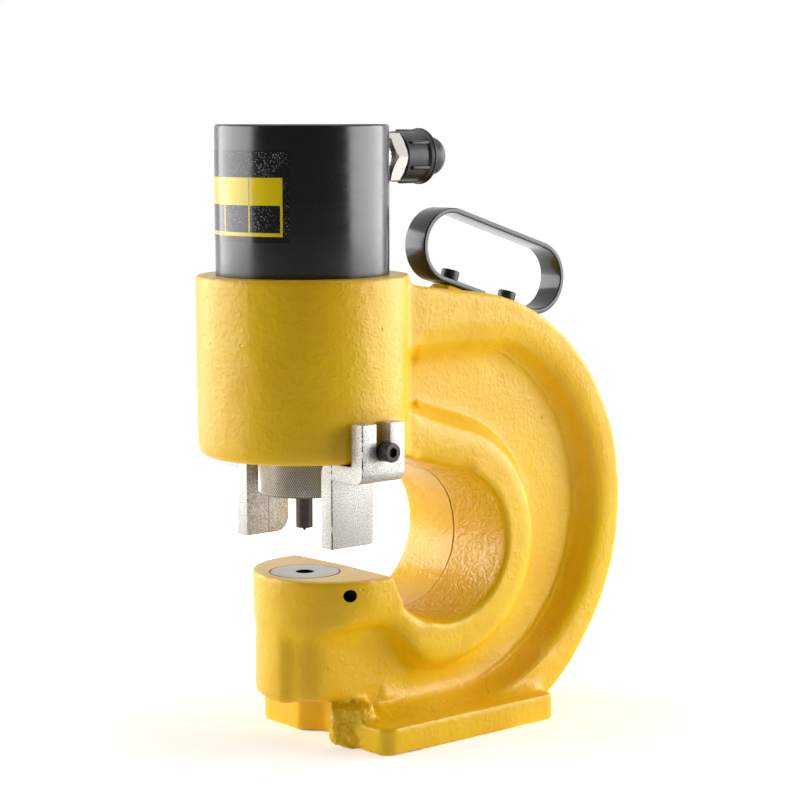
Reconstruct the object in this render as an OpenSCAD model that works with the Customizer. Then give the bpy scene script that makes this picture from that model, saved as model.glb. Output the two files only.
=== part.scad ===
// Portable hydraulic hole punch with a cast C-frame.
// Millimetres, +Z up, floor at Z = 0. The punch axis is vertical and +X runs from it
// towards the back of the C. The origin is the middle of the footprint box.

/* [Casting] */
// Overall thickness of the C across its two faces
frame_w = 88; // [76:1:96]
// Thickness of the web between the two side pockets
web_w = 54; // [40:1:60]
// From the punch axis to the back of the throat
throat_depth = 110; // [104:1:125]
// Radius of the round part of the throat at mid thickness
throat_r = 41; // [36:0.5:44]
// Height of the throat's centre above the anvil's top
throat_rise = 11.4; // [8:0.1:14]
// How far the throat wall opens from mid thickness to each face
throat_lean = 1.8; // [0.5:0.1:3]
// Slope of the throat's roof, up towards the head
roof_angle = 17; // [12:0.5:20]
// Width of the flat ring face around the throat
ring_w = 24.7; // [18:0.1:28]
// From the punch axis to the back of the casting
back_x = 203.5; // [196:0.5:212]
// Radius of the back above its rearmost point, where it runs into the arm's top
back_upper_r = 126; // [118:0.5:134]
// Radius of the back below its rearmost point
back_lower_r = 133; // [129:0.5:137]
// From the head's top down to the arm's top, at the back of the head
arm_drop = 7.6; // [5:0.1:12]
// Slope of the arm's top, down from the head
arm_angle = 7.2; // [4:0.1:9]
// Width of the rim face at the back of the casting
rim_w = 17.9; // [12:0.1:20]
// Radius of the pocket's outer edge
pocket_r = 105.9; // [100:0.1:110]
// From the head's top down to the pocket's upper edge
pocket_cover = 37.6; // [34:0.1:45]
// How far the pocket walls lean in from face to web
pocket_lean = 5.5; // [2:0.1:8]
// How far the pocket's roof leans in from face to web
pocket_roof_lean = 10; // [4:0.1:12]

/* [Anvil and foot] */
// Height of the anvil's top above the floor
anvil_top = 95.6; // [90:0.1:100]
// From the punch axis to the front of the anvil
anvil_front = 25; // [22:0.5:32]
// Height of the anvil's underside above the floor
anvil_under = 25.3; // [20:0.1:30]
// Radius of the round edge under the anvil
anvil_edge_r = 5; // [3:0.5:10]
// How much smaller the anvil's radius is below its top block
anvil_step = 1.2; // [0.5:0.1:3]
// Height of the full-width block at the anvil's top
anvil_block_h = 24.6; // [20:0.1:30]
// From the punch axis back to the block's rear corner in the pocket
block_reach = 24; // [21:0.5:27]
// Direction, seen from the throat's centre, where the ring's corner flat ends
flat_end_angle = 251; // [247:1:255]
// Thickness of the foot plate
foot_t = 15.6; // [12:0.1:18]
// Width of the foot plate
foot_w = 114; // [104:1:124]
// From the punch axis to the foot's front edge
foot_front = 10; // [9:0.5:14]
// From the punch axis to the foot's rear edge
foot_rear = 137; // [130:1:145]
// Radius of the foot's upright corners
foot_corner_r = 9; // [4:0.5:12]
// Width of the slug notch at the foot's front edge
notch_w = 37.8; // [30:0.1:42]
// Width of the slug notch at its back
notch_back_w = 13.8; // [8:0.1:20]
// Depth of the slug notch
notch_depth = 9.5; // [6:0.5:14]
// Width of the casting stub on the foot's front
stub_w = 17; // [12:1:22]
// How far the stub stands out from the foot's front edge
stub_out = 9.5; // [5:0.5:12]
// Height of the stub
stub_h = 29; // [26:0.5:34]
// Place of the stub's middle across the foot
stub_y = -24.5; // [-34:0.5:-24]

/* [Head and cylinder] */
// Radius of the casting's round head
head_r = 58; // [56:0.5:62]
// Clear height from the anvil's top to the head's underside
daylight = 66.1; // [62:0.1:72]
// Height of the round head
head_h = 97.4; // [92:0.1:104]
// Thickness of the head's floor under the spring chamber
head_floor = 16.3; // [14:0.1:20]
// Outer radius of the steel barrel
barrel_r = 47; // [46:0.5:50]
// Radius of the barrel's bore
bore_r = 40; // [37:0.5:41]
// Height of the barrel above the head
barrel_h = 80.5; // [76:0.5:90]
// Radius of the barrel's threaded spigot inside the head
spigot_r = 45; // [44:0.1:45.5]
// Length of the spigot
spigot_len = 55; // [45:1:60]
// Thickness of the barrel's closed crown
crown_t = 30.6; // [28:0.1:34]
// Radius of the barrel's rounded edges
barrel_edge_r = 1.5; // [0.5:0.1:3]
// Wire diameter of the seal ring between barrel and head
seal_wire = 2.4; // [2:0.1:3]
// Width of the data sticker around the barrel
sticker_w = 71; // [40:1:80]
// Height of the data sticker
sticker_h = 48; // [40:1:54]
// Thickness of the sticker film
sticker_t = 0.2; // [0.1:0.05:0.3]
// Sticker's lower edge above the head
sticker_rise = 19; // [8:0.5:22]

/* [Ram] */
// Radius of the piston rod
rod_r = 19; // [17:0.5:20]
// Thickness of the piston
piston_t = 30; // [27:0.5:34]
// Thickness of the piston seal and height of its groove
seal_h = 6; // [4:0.5:7]
// Height of the piston's guide ring and of its groove
guide_h = 9; // [6:0.5:10]
// Depth of the grooves in the piston
groove_depth = 3; // [2:0.1:5]
// Wire diameter of the return spring
spring_wire = 6; // [4:0.5:7]
// Mean radius of the return spring
spring_r = 30; // [27:0.5:32]
// Turns of the return spring
spring_turns = 7; // [5:1:8]
// Height of the rod wiper
wiper_h = 5; // [4:0.5:7]
// Wall of the rod wiper
wiper_wall = 5.4; // [4:0.1:7]
// Wall of the guide bush
bush_wall = 4; // [3:0.1:5]

/* [Punch and die] */
// Diameter of the punch
punch_d = 9.2; // [6:0.1:12]
// Length of the punch below the nut
punch_len = 19.5; // [15:0.5:21]
// Height of the centring pip on the punch
pip_h = 2.2; // [1:0.1:3]
// Radius of the punch's head
punch_head_r = 8.5; // [8:0.1:9]
// Thickness of the punch's head
punch_head_t = 5.8; // [4:0.1:7]
// Outer diameter of the knurled punch nut
nut_d = 50; // [46:0.5:52]
// Height of the punch nut
nut_h = 21.5; // [20:0.5:24]
// Thickness of the nut's lip under the punch's head
nut_lip = 4.4; // [3:0.1:6]
// Chamfer on the nut's edges
nut_chamfer = 1.2; // [0.5:0.1:2]
// Diameter of the die
die_d = 39; // [34:0.5:42]
// Height of the die
die_h = 20; // [16:0.5:24]
// Diameter of the die's cutting hole
die_hole_d = 10; // [7:0.1:12.8]
// Length of the cutting hole before it widens
die_land = 7; // [4:0.5:10]
// Radius of the slug hole through the anvil
slug_r = 8; // [7:0.5:10]
// Radius of the die's set screw
set_screw_r = 3.4; // [2.5:0.1:4]
// Length of the die's set screw
set_screw_len = 15; // [10:1:18]
// Depth of the set screw below the anvil's top
set_screw_drop = 7.7; // [6:0.1:12]

/* [Strippers] */
// Width of the stripper brackets
bracket_w = 29; // [24:0.5:32]
// Thickness of the stripper bar
bracket_t = 9; // [7:0.5:10]
// Clear distance between the two legs
leg_gap = 66; // [60:1:70]
// Height of the leg's end above the anvil
leg_clear = 19.4; // [17:0.1:22]
// Height of the upper plate above the head's underside
plate_rise = 22.4; // [20:0.1:26]
// Width of the slot in the upper plate
slot_w = 9.4; // [8:0.1:10]
// Outer bend radius of the bar
bend_r = 6; // [4:0.5:7]
// Radius of the left leg's rounded corner
left_corner_r = 3; // [2:0.5:9]
// Radius of the right leg's rounded corner
right_corner_r = 8; // [2:0.5:9]
// How much lower the right bracket is set in its slot
right_drop = 2.4; // [0:0.1:4]
// Height of the bracket screws above the head's underside
bracket_screw_z = 7.8; // [6.5:0.1:9]
// Thickness of the spring washers
washer_t = 1.6; // [1:0.1:2]

/* [Handle] */
// Outer radius of the handle's round ends
loop_r = 21.2; // [18:0.1:24]
// Distance between the centres of the round ends
loop_len = 70.8; // [62:0.1:80]
// Thickness of the handle strap
strap_t = 3; // [2:0.1:4]
// Width of the handle strap
strap_w = 17; // [14:0.5:20]
// Downward slope of the handle towards the back
loop_angle = 17.8; // [16:0.1:20]
// Height of the pads that carry the handle above the casting's back
pad_h = 2.1; // [1:0.1:4]
// How far behind the front bend the pad starts
pad_lead = 4; // [0:0.5:5]
// From the loop's front centre back to where the handle's line touches the casting's back
loop_lead = 23.2; // [18:0.1:28]
// Length of the front foot of the strap
strap_front = 32.9; // [22:0.1:34]
// Length of the rear foot of the strap
strap_back = 19.7; // [19:0.1:24]
// Place of the front screw along the strap
front_screw = 10.6; // [8:0.1:14]
// Distance of the rear screw from the rear round end
rear_screw = 13.7; // [10:0.1:14]
// Width of the cast pad under the strap
pad_w = 16; // [12:0.5:20]

/* [Screws] */
// Shank radius of the socket head screws
screw_r = 3; // [2.5:0.1:3.2]
// Head radius of the socket head screws
screw_head_r = 5.2; // [4.8:0.1:5.5]
// Head height of the socket head screws
screw_head_h = 6; // [5:0.1:6.5]
// Hexagon socket across flats
socket_af = 5; // [4:0.1:5.5]
// Depth of the hexagon socket
socket_depth = 3; // [2:0.1:4]
// Threaded length in the casting
thread_len = 12; // [8:1:14]

/* [Coupler] */
// Depth of the coupler's axis below the barrel's top
port_drop = 18; // [17:0.1:20]
// Radius of the coupler's threaded spigot
port_r = 9; // [8:0.1:10]
// Length of the threaded spigot
port_len = 14; // [10:1:16]
// Depth of the flat spot face in the barrel
spot_depth = 1.5; // [1.4:0.1:2.5]
// Outer radius of the sealing washer
seal_washer_r = 11.5; // [11:0.1:11.5]
// Thickness of the sealing washer
seal_washer_t = 2; // [1:0.1:3]
// Radius of the collar before the hexagon
collar_r = 11; // [9:0.5:13]
// Length of the collar
collar_len = 7.6; // [4:0.1:9]
// Hexagon across flats
hex_af = 26; // [24:0.5:30]
// Length of the hexagon
hex_len = 8.5; // [7:0.1:12]
// Radius of the coupler's nipple
nipple_r = 10; // [9:0.1:11]
// Length of the nipple
nipple_len = 21; // [20:0.5:24]
// Radius of the valve poppet
poppet_r = 4.4; // [3.5:0.1:5]
// Length of the valve poppet
poppet_len = 8; // [6:0.5:9]
// Travel of the valve poppet
poppet_travel = 3; // [2:0.5:3.5]
// Radius of the dust cap over its ribs
cap_r = 14.6; // [13.6:0.1:15]
// Length of the dust cap's ribbed body
cap_len = 13.6; // [9:0.1:15]
// Number of ribs on the dust cap
cap_ribs = 6; // [4:1:10]
// Radius of the dust cap's ribs
cap_rib_r = 1.2; // [1:0.1:2]
// Clear distance between the hexagon and the dust cap
cap_gap = 0.5; // [0.3:0.1:4]
// Radius of the dust cap's flange
flange_r = 15.7; // [15:0.1:17]
// Thickness of the dust cap's flange
flange_t = 5.5; // [4:0.1:7]
// Radius of the dust cap's end
tip_r = 10.9; // [10:0.1:12]
// Length of the dust cap's end
tip_len = 13.9; // [10:0.1:16]

/* [Fits] */
// Radial play of running and locating fits
fit = 0.05; // [0.02:0.01:0.1]
// Gap between faces of pieces that move past each other
gap = 0.3; // [0.2:0.05:0.4]
// Gap between the head's side and the bracket's plate
bracket_gap = 0.5; // [0.3:0.1:1]

/* [Hidden] */
$fn = 96;
past = 1;
half_w = frame_w / 2;
web_half = web_w / 2;
pocket_depth = half_w - web_half;
head_bottom = anvil_top + daylight;
head_top = head_bottom + head_h;
barrel_top = head_top + barrel_h;
centre_x = (back_x - head_r) / 2;
arm_top = head_top - arm_drop;
upper_x = back_x - back_upper_r;
back_z = arm_top - (upper_x - head_r) * tan(arm_angle) - back_upper_r / cos(arm_angle);
throat_x = throat_depth - throat_r;
throat_z = anvil_top + throat_rise;
anvil_x = half_w - anvil_front;
ring_r = throat_r + ring_w;
pocket_x = back_x - rim_w - pocket_r;
pocket_low = foot_t - past;
pocket_z = pocket_low + pocket_r;
pocket_top = head_top - pocket_cover;
block_z = anvil_top - anvil_block_h;
reach = 2 * back_x;

chamber_z = head_bottom + head_floor;
spigot_z = head_top - spigot_len;
crown_z = barrel_top - crown_t;
port_z = barrel_top - port_drop;
seal_z = head_top - 4 * seal_wire;
wiper_r = rod_r + wiper_wall;
bush_r = rod_r + bush_wall;
oil_r = 2.5;

piston_top = crown_z - gap;
piston_z = piston_top - piston_t;
nut_top = head_bottom - gap;
nut_z = nut_top - nut_h;
rod_end = nut_z + nut_lip + punch_head_t + 2 * fit;
shoulder_z = nut_z - punch_len;
pip_r = punch_d / 5;
die_z = anvil_top - die_h;
set_screw_z = anvil_top - set_screw_drop;
knock_out_r = slug_r - 1;

plate_y = head_r + bracket_gap;
leg_y = leg_gap / 2;
step_top = head_bottom - gap;
leg_z = anvil_top + leg_clear;
screw_z = head_bottom + bracket_screw_z;
inner_bend_r = bracket_gap + gap;

handle_r = back_upper_r + pad_h + loop_r;
loop_x = upper_x + handle_r * sin(loop_angle) - loop_lead * cos(loop_angle);
loop_z = back_z + handle_r * cos(loop_angle) + loop_lead * sin(loop_angle);
rear_screw_s = loop_len - rear_screw;

spot_x = barrel_r - spot_depth;
collar_x = spot_x + seal_washer_t;
hex_x = collar_x + collar_len;
nipple_x = hex_x + hex_len;
nipple_end = nipple_x + nipple_len;
lip = 1.7;
poppet_x = nipple_end - lip - gap - poppet_len;
valve_x = poppet_x - poppet_travel - gap;
cap_x = nipple_x + cap_gap;

// Moves a piece drawn about the punch axis to the middle of the footprint
module placed() {
    translate([-centre_x, 0, 0]) children();
}

// Extrudes an outline drawn in X and Z from one Y to another
module along_y(from_y, to_y) {
    translate([0, to_y, 0])
        rotate([90, 0, 0])
            linear_extrude(to_y - from_y) children();
}

module both_sides() {
    children();
    mirror([0, 1, 0]) children();
}

// Points of a closed outline given as [x, y, corner radius]
function unit(v) = v / norm(v);
function flat_point(p) = [p[0], p[1]];
function turn_between(a, b) = let (d = b - a) d > 180 ? d - 360 : d < -180 ? d + 360 : d;
function corner_arc(a, b, c, steps = 6) =
    b[2] == 0 ? [flat_point(b)] :
    let (
        u = unit(flat_point(a) - flat_point(b)),
        w = unit(flat_point(c) - flat_point(b)),
        half = acos(u * w) / 2,
        middle = flat_point(b) + unit(u + w) * b[2] / sin(half),
        first = flat_point(b) + u * b[2] / tan(half) - middle,
        last = flat_point(b) + w * b[2] / tan(half) - middle,
        start = atan2(first[1], first[0]),
        sweep = turn_between(start, atan2(last[1], last[0]))
    )
    [
        for (k = [0 : steps])
            let (turn = start + sweep * k / steps)
                middle + b[2] * [cos(turn), sin(turn)]
    ];
function rounded(points) =
    let (n = len(points))
    [for (i = [0 : n - 1]) each corner_arc(points[(i + n - 1) % n], points[i], points[(i + 1) % n])];

// A bar along +X whose face at Z = 0 leans up by lean from the casting's face to the web
module leaning_bar(length, depth, lean, under = past) {
    slope = lean / pocket_depth;
    rotate([90, 0, 90])
        linear_extrude(length)
            polygon([
                [web_half - under, lean + slope * under],
                [half_w + past, -slope * past],
                [half_w + past, -depth],
                [web_half - under, -depth]
            ]);
}

// A cone about a Y axis, with radius r at the casting's face and r + lean at the web
module leaning_disc(x, z, r, lean) {
    slope = lean / pocket_depth;
    translate([x, web_half, z])
        rotate([-90, 0, 0])
            cylinder(r1 = r + lean, r2 = r - slope * past, h = pocket_depth + past);
}

// Side view of the C before its pockets
module frame_outline() {
    arm_x = upper_x + back_upper_r * sin(arm_angle);
    arm_z = back_z + back_upper_r * cos(arm_angle);
    difference() {
        union() {
            intersection() {
                translate([upper_x, back_z]) circle(r = back_upper_r);
                translate([0, back_z]) square([back_x + past, back_upper_r + past]);
            }
            intersection() {
                translate([back_x - back_lower_r, back_z]) circle(r = back_lower_r);
                translate([anvil_x, 0]) square([back_x, back_z]);
            }
            polygon([
                [0, back_z + throat_r],
                [0, arm_z + arm_x * tan(arm_angle)],
                [arm_x, arm_z],
                [arm_x, back_z + throat_r]
            ]);
        }
        throat_mouth();
    }
}

// The open front of the throat, between the anvil's top and the sloping roof
module throat_mouth() {
    roof_x = throat_x + throat_r * sin(roof_angle);
    roof_z = throat_z + throat_r * cos(roof_angle);
    polygon([
        [throat_x, throat_z],
        [roof_x, roof_z],
        [-back_x, roof_z + (roof_x + back_x) * tan(roof_angle)],
        [-back_x, anvil_top],
        [throat_x, anvil_top]
    ]);
}

// The round of the throat, which opens from mid thickness to each face
module throat_round() {
    both_sides()
        translate([throat_x, 0, throat_z])
            rotate([-90, 0, 0])
                cylinder(
                    r1 = throat_r,
                    r2 = throat_r + throat_lean * (half_w + past) / half_w,
                    h = half_w + past
                );
}

// What stays standing around the throat inside a pocket
module ring_body() {
    end = [throat_x + ring_r * cos(flat_end_angle), throat_z + ring_r * sin(flat_end_angle)];
    corner = [block_reach, block_z];
    away = unit(corner - end) * throat_depth;
    difference() {
        leaning_disc(throat_x, throat_z, ring_r, pocket_lean);
        along_y(web_half - past, half_w + 2 * past)
            polygon([corner + away, end - away, end - away - [reach, 0], corner + away - [reach, 0]]);
    }
    translate([throat_x + ring_r * sin(roof_angle), 0, throat_z + ring_r * cos(roof_angle)])
        rotate([0, roof_angle, 0])
            translate([-reach, 0, 0])
                leaning_bar(reach, ring_w + throat_r, pocket_lean);
}

// The hollow in one side of the casting, between rim, ring, head, anvil block and foot
module pocket() {
    difference() {
        intersection() {
            union() {
                leaning_disc(pocket_x, pocket_z, pocket_r, -pocket_lean);
                translate([-reach / 2, 0, pocket_low + fit])
                    mirror([0, 0, 1])
                        leaning_bar(reach / 2 + pocket_x, throat_z - pocket_low, -pocket_lean, -fit);
            }
            translate([-reach / 2, 0, pocket_top])
                leaning_bar(reach, pocket_top - pocket_low + past, -pocket_roof_lean);
        }
        ring_body();
        translate([-reach / 2, 0, block_z])
            mirror([0, 0, 1])
                leaning_bar(reach / 2 + block_reach, anvil_block_h + throat_rise, pocket_lean);
        translate([0, 0, anvil_top]) cylinder(r = head_r, h = daylight + head_h);
    }
}

// The anvil's half-round front, with its top block and a round edge underneath
module anvil_nose() {
    low_r = half_w - anvil_step;
    edge = anvil_edge_r;
    intersection() {
        translate([anvil_x, 0, 0])
            rotate_extrude() {
                polygon([
                    [0, anvil_under + edge],
                    [low_r, anvil_under + edge],
                    [low_r, block_z - pocket_lean],
                    [half_w, block_z],
                    [half_w, anvil_top],
                    [0, anvil_top]
                ]);
                translate([0, anvil_under]) square([low_r - edge, edge + past]);
                intersection() {
                    translate([low_r - edge, anvil_under + edge]) circle(r = edge);
                    translate([0, anvil_under]) square([half_w, 2 * edge]);
                }
            }
        translate([anvil_x - half_w - past, -half_w - past, 0])
            cube([half_w + past, frame_w + 2 * past, anvil_top + past]);
    }
}

// Top view of the foot, with the slug notch in its front edge
module foot_outline() {
    w = foot_w / 2;
    mouth = notch_w / 2;
    polygon(rounded([
        [foot_front, -w, foot_corner_r],
        [foot_rear, -w, foot_corner_r / 2],
        [foot_rear, w, foot_corner_r / 2],
        [foot_front, w, foot_corner_r],
        [foot_front, mouth, 0],
        [foot_front + notch_depth, notch_back_w / 2, 0],
        [foot_front + notch_depth, -notch_back_w / 2, 0],
        [foot_front, -mouth, 0]
    ]));
}

// The foot, which rises to the anvil's underside wherever the anvil stands over it
module foot_plate() {
    linear_extrude(foot_t) foot_outline();
    linear_extrude(anvil_under + past)
        intersection() {
            foot_outline();
            translate([anvil_x, 0]) circle(r = half_w - anvil_step - anvil_edge_r - past);
            square([2 * (anvil_x + past), foot_w], center = true);
        }
    linear_extrude(stub_h)
        polygon(rounded([
            [foot_front - stub_out * 0.8, stub_y + stub_w / 2, stub_out / 4],
            [foot_front - stub_out, stub_y + stub_w / 8, stub_out / 4],
            [foot_front, stub_y - stub_w / 2, 0],
            [foot_front + past, stub_y - stub_w / 2, 0],
            [foot_front + past, stub_y + stub_w / 2, 0]
        ]));
}

// Puts a piece in the handle's own slope, with its origin at the front round end's centre
module at_handle() {
    translate([loop_x, 0, loop_z]) rotate([0, loop_angle, 0]) children();
}

module handle_screw_places() {
    for (s = [front_screw, rear_screw_s])
        at_handle() translate([s, 0, -loop_r]) children();
}

module stripper_screw_places() {
    both_sides() translate([0, -plate_y - bracket_t, screw_z]) rotate([90, 0, 0]) children();
}

module c_frame() {
    color("gold")
    placed()
    difference() {
        union() {
            difference() {
                union() {
                    along_y(-half_w, half_w) frame_outline();
                    anvil_nose();
                }
                both_sides() pocket();
                throat_round();
            }
            foot_plate();
            translate([0, 0, head_bottom]) cylinder(r = head_r, h = head_h);
            at_handle()
                translate([pad_lead, -pad_w / 2, -loop_r - strap_w])
                    cube([rear_screw_s + 1.6 * screw_head_r - pad_lead, pad_w, strap_w]);
        }
        translate([0, 0, spigot_z]) cylinder(r = spigot_r + fit, h = spigot_len + past);
        translate([0, 0, chamber_z]) cylinder(r = bore_r, h = head_h);
        translate([0, 0, head_bottom - past]) cylinder(r = bush_r + fit, h = head_floor + 2 * past);
        translate([0, 0, head_bottom - past]) cylinder(r = wiper_r + fit, h = wiper_h + past);
        translate([0, 0, die_z]) cylinder(r = die_d / 2 + fit, h = die_h + past);
        translate([0, 0, -past]) cylinder(r = slug_r, h = anvil_top);
        translate([0, 0, set_screw_z]) rotate([90, 0, 0]) cylinder(r = set_screw_r + fit, h = half_w + past);
        both_sides()
            translate([0, -head_r + thread_len, screw_z])
                rotate([90, 0, 0]) cylinder(r = screw_r + fit, h = thread_len + past);
        handle_screw_places()
            translate([0, 0, -thread_len]) cylinder(r = screw_r + fit, h = thread_len + past);
    }
}

module cylinder_barrel() {
    color("#1c1c1e")
    placed()
    difference() {
        rotate_extrude()
            difference() {
                union() {
                    translate([0, spigot_z]) square([spigot_r, spigot_len + past]);
                    translate([0, head_top]) square([barrel_r, barrel_h]);
                }
                translate([0, spigot_z - past]) square([bore_r, crown_z - spigot_z + past]);
                translate([barrel_r - barrel_edge_r, barrel_top - barrel_edge_r])
                    difference() {
                        square(barrel_edge_r + past);
                        circle(r = barrel_edge_r);
                    }
                translate([spigot_r - seal_wire, seal_z - seal_wire * 0.6])
                    square([seal_wire + past, seal_wire * 1.2]);
            }
        translate([spot_x, 0, port_z]) rotate([0, 90, 0]) cylinder(r = seal_washer_r + gap, h = barrel_r);
        translate([spot_x - port_len, 0, port_z]) rotate([0, 90, 0]) cylinder(r = port_r + fit, h = barrel_r);
        translate([0, 0, port_z]) rotate([0, 90, 0]) cylinder(r = oil_r, h = barrel_r);
        translate([0, 0, crown_z - past]) cylinder(r = oil_r, h = port_z - crown_z + past);
    }
}

module barrel_seal_ring() {
    color("#2b2b2b")
    placed()
    translate([0, 0, seal_z])
    rotate_extrude() translate([spigot_r - seal_wire / 2, 0]) circle(r = seal_wire / 2 - fit / 2);
}

module data_sticker() {
    span = sticker_w / barrel_r * 180 / PI;
    color("#f0d400")
    placed()
    translate([0, 0, head_top + sticker_rise])
    rotate([0, 0, 180 - span / 2])
    rotate_extrude(angle = span) translate([barrel_r + fit / 2, 0]) square([sticker_t, sticker_h]);
}

module guide_bush() {
    color("#b08d4a")
    placed()
    translate([0, 0, head_bottom + wiper_h])
    difference() {
        cylinder(r = bush_r, h = head_floor - wiper_h);
        translate([0, 0, -past]) cylinder(r = rod_r + fit, h = head_floor);
    }
}

module rod_wiper() {
    color("#3a4a66")
    placed()
    translate([0, 0, head_bottom])
    difference() {
        cylinder(r = wiper_r, h = wiper_h);
        translate([0, 0, -past]) cylinder(r = rod_r + fit, h = wiper_h + 2 * past);
    }
}

// One unbroken wire wound as a helix between the head's floor and the piston
module return_spring() {
    turn_rings = 16;
    sides = 6;
    rings = turn_rings * spring_turns;
    wire = spring_wire / 2;
    low = chamber_z + wire + gap;
    rise = piston_z - gap - wire - low;
    bottom = [for (k = [0 : rings]) low + rise * k / rings];
    points = [
        for (k = [0 : rings])
            let (turn = 360 * spring_turns * k / rings)
                for (j = [0 : sides - 1])
                    let (out = spring_r + wire * cos(360 * j / sides))
                        [out * cos(turn), out * sin(turn), bottom[k] + wire * sin(360 * j / sides)]
    ];
    walls = [
        for (k = [0 : rings - 1], j = [0 : sides - 1])
            let (
                a = k * sides + j,
                b = k * sides + (j + 1) % sides
            )
                each [[a, a + sides, b], [b, a + sides, b + sides]]
    ];
    caps = [
        for (j = [1 : sides - 2])
            each [
                [0, j, j + 1],
                [rings * sides, rings * sides + j + 1, rings * sides + j]
            ]
    ];
    least_gap = min([
        for (k = [0 : rings - turn_rings])
            norm(points[(k + turn_rings) * sides] - points[k * sides]) - spring_wire
    ]);
    echo(str("return_spring least gap to itself: ", least_gap));
    color("#8a8d91")
    placed()
    polyhedron(points = points, faces = concat(walls, caps));
}

module ram() {
    piston_r = bore_r - fit;
    groove_r = piston_r - groove_depth;
    color("#9ea2a6")
    placed()
    rotate_extrude()
        difference() {
            union() {
                translate([0, piston_z]) square([piston_r, piston_t]);
                translate([0, rod_end]) square([rod_r, piston_z - rod_end + past]);
            }
            translate([groove_r, piston_top - piston_t / 4 - seal_h / 2]) square([piston_r, seal_h]);
            translate([groove_r, piston_z + piston_t / 4 - guide_h / 2]) square([piston_r, guide_h]);
        }
}

// A ring that fills one of the piston's grooves
module piston_ring(z, height) {
    groove_r = bore_r - fit - groove_depth;
    placed()
    translate([0, 0, z - height / 2 + fit])
    difference() {
        cylinder(r = bore_r - fit / 2, h = height - 2 * fit);
        translate([0, 0, -past]) cylinder(r = groove_r + fit, h = height + past);
    }
}

module piston_seal() {
    color("#c8b060") piston_ring(piston_top - piston_t / 4, seal_h);
}

module piston_guide_ring() {
    color("#7a4a2a") piston_ring(piston_z + piston_t / 4, guide_h);
}

module punch() {
    color("#2f2f31")
    placed() {
        translate([0, 0, shoulder_z]) cylinder(d = punch_d, h = rod_end - shoulder_z - fit);
        translate([0, 0, rod_end - fit - punch_head_t]) cylinder(r = punch_head_r, h = punch_head_t);
        translate([0, 0, shoulder_z - pip_h]) cylinder(r1 = 0, r2 = pip_r, h = pip_h);
    }
}

module punch_nut() {
    nut_r = nut_d / 2;
    color("#b9bcc0")
    placed()
    difference() {
        translate([0, 0, nut_z])
            rotate_extrude()
                polygon([
                    [0, 0],
                    [nut_r - nut_chamfer, 0],
                    [nut_r, nut_chamfer],
                    [nut_r, nut_h - nut_chamfer],
                    [nut_r - nut_chamfer, nut_h],
                    [0, nut_h]
                ]);
        translate([0, 0, rod_end - gap]) cylinder(r = rod_r + fit, h = nut_h);
        translate([0, 0, nut_z + nut_lip]) cylinder(r = punch_head_r + gap, h = nut_h);
        translate([0, 0, nut_z - past]) cylinder(r = punch_d / 2 + gap, h = nut_h);
    }
}

module die() {
    color("#26272a")
    placed()
    difference() {
        translate([0, 0, die_z]) cylinder(d = die_d, h = die_h);
        translate([0, 0, die_z - past]) cylinder(d = die_hole_d, h = die_h + 2 * past);
        translate([0, 0, die_z - past]) cylinder(r = knock_out_r, h = die_h - die_land + past);
    }
}

module die_set_screw() {
    tip_y = die_d / 2 + 2 * fit;
    color("#1f1f22")
    placed()
    translate([0, -tip_y, set_screw_z])
    rotate([90, 0, 0])
    difference() {
        cylinder(r = set_screw_r, h = set_screw_len);
        translate([0, 0, set_screw_len - socket_depth])
            cylinder(d = set_screw_r * 1.2, h = socket_depth + past, $fn = 6);
    }
}

// The bent bar of a stripper, drawn for the +Y side
module stripper(corner_r) {
    plate_out = plate_y + bracket_t;
    step_low = step_top - bracket_t;
    difference() {
        translate([-bracket_w / 2, 0, 0])
            rotate([90, 0, 90])
                linear_extrude(bracket_w)
                    polygon(rounded([
                        [leg_y, leg_z, 0],
                        [leg_y + bracket_t, leg_z, 0],
                        [leg_y + bracket_t, step_low, inner_bend_r],
                        [plate_out, step_low, bend_r],
                        [plate_out, head_bottom + plate_rise, 0],
                        [plate_y, head_bottom + plate_rise, 0],
                        [plate_y, step_top, inner_bend_r],
                        [leg_y, step_top, bend_r]
                    ]));
        translate([0, plate_y - past, screw_z])
            rotate([-90, 0, 0]) cylinder(d = slot_w, h = bracket_t + 2 * past);
        translate([-slot_w / 2, plate_y - past, screw_z])
            cube([slot_w, bracket_t + 2 * past, plate_rise]);
        translate([bracket_w / 2 - corner_r, leg_y - past, leg_z])
            difference() {
                translate([0, 0, -past])
                    cube([corner_r + past, bracket_t + 2 * past, corner_r + past]);
                translate([0, -past, corner_r])
                    rotate([-90, 0, 0]) cylinder(r = corner_r, h = bracket_t + 4 * past);
            }
    }
}

module stripper_left() {
    color("#c3c6c9") placed() mirror([0, 1, 0]) stripper(left_corner_r);
}

module stripper_right() {
    color("#c3c6c9") placed() translate([0, 0, -right_drop]) stripper(right_corner_r);
}

// A socket head screw whose head sits on Z = 0, with its shank below
module socket_screw(shank) {
    difference() {
        union() {
            cylinder(r = screw_head_r, h = screw_head_h);
            translate([0, 0, -shank]) cylinder(r = screw_r, h = shank + past);
        }
        translate([0, 0, screw_head_h - socket_depth])
            cylinder(d = socket_af / cos(30), h = socket_depth + past, $fn = 6);
    }
}

module stripper_screws() {
    under_head = bracket_gap + bracket_t + gap + washer_t;
    color("#202022")
    placed()
    stripper_screw_places()
    translate([0, 0, gap + washer_t]) socket_screw(under_head + thread_len - past);
}

module stripper_washers() {
    color("#2a2a2c")
    placed()
    stripper_screw_places()
    translate([0, 0, gap])
    difference() {
        cylinder(r = screw_head_r, h = washer_t);
        translate([0, 0, -past]) cylinder(r = screw_r + fit, h = washer_t + 2 * past);
    }
}

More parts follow.
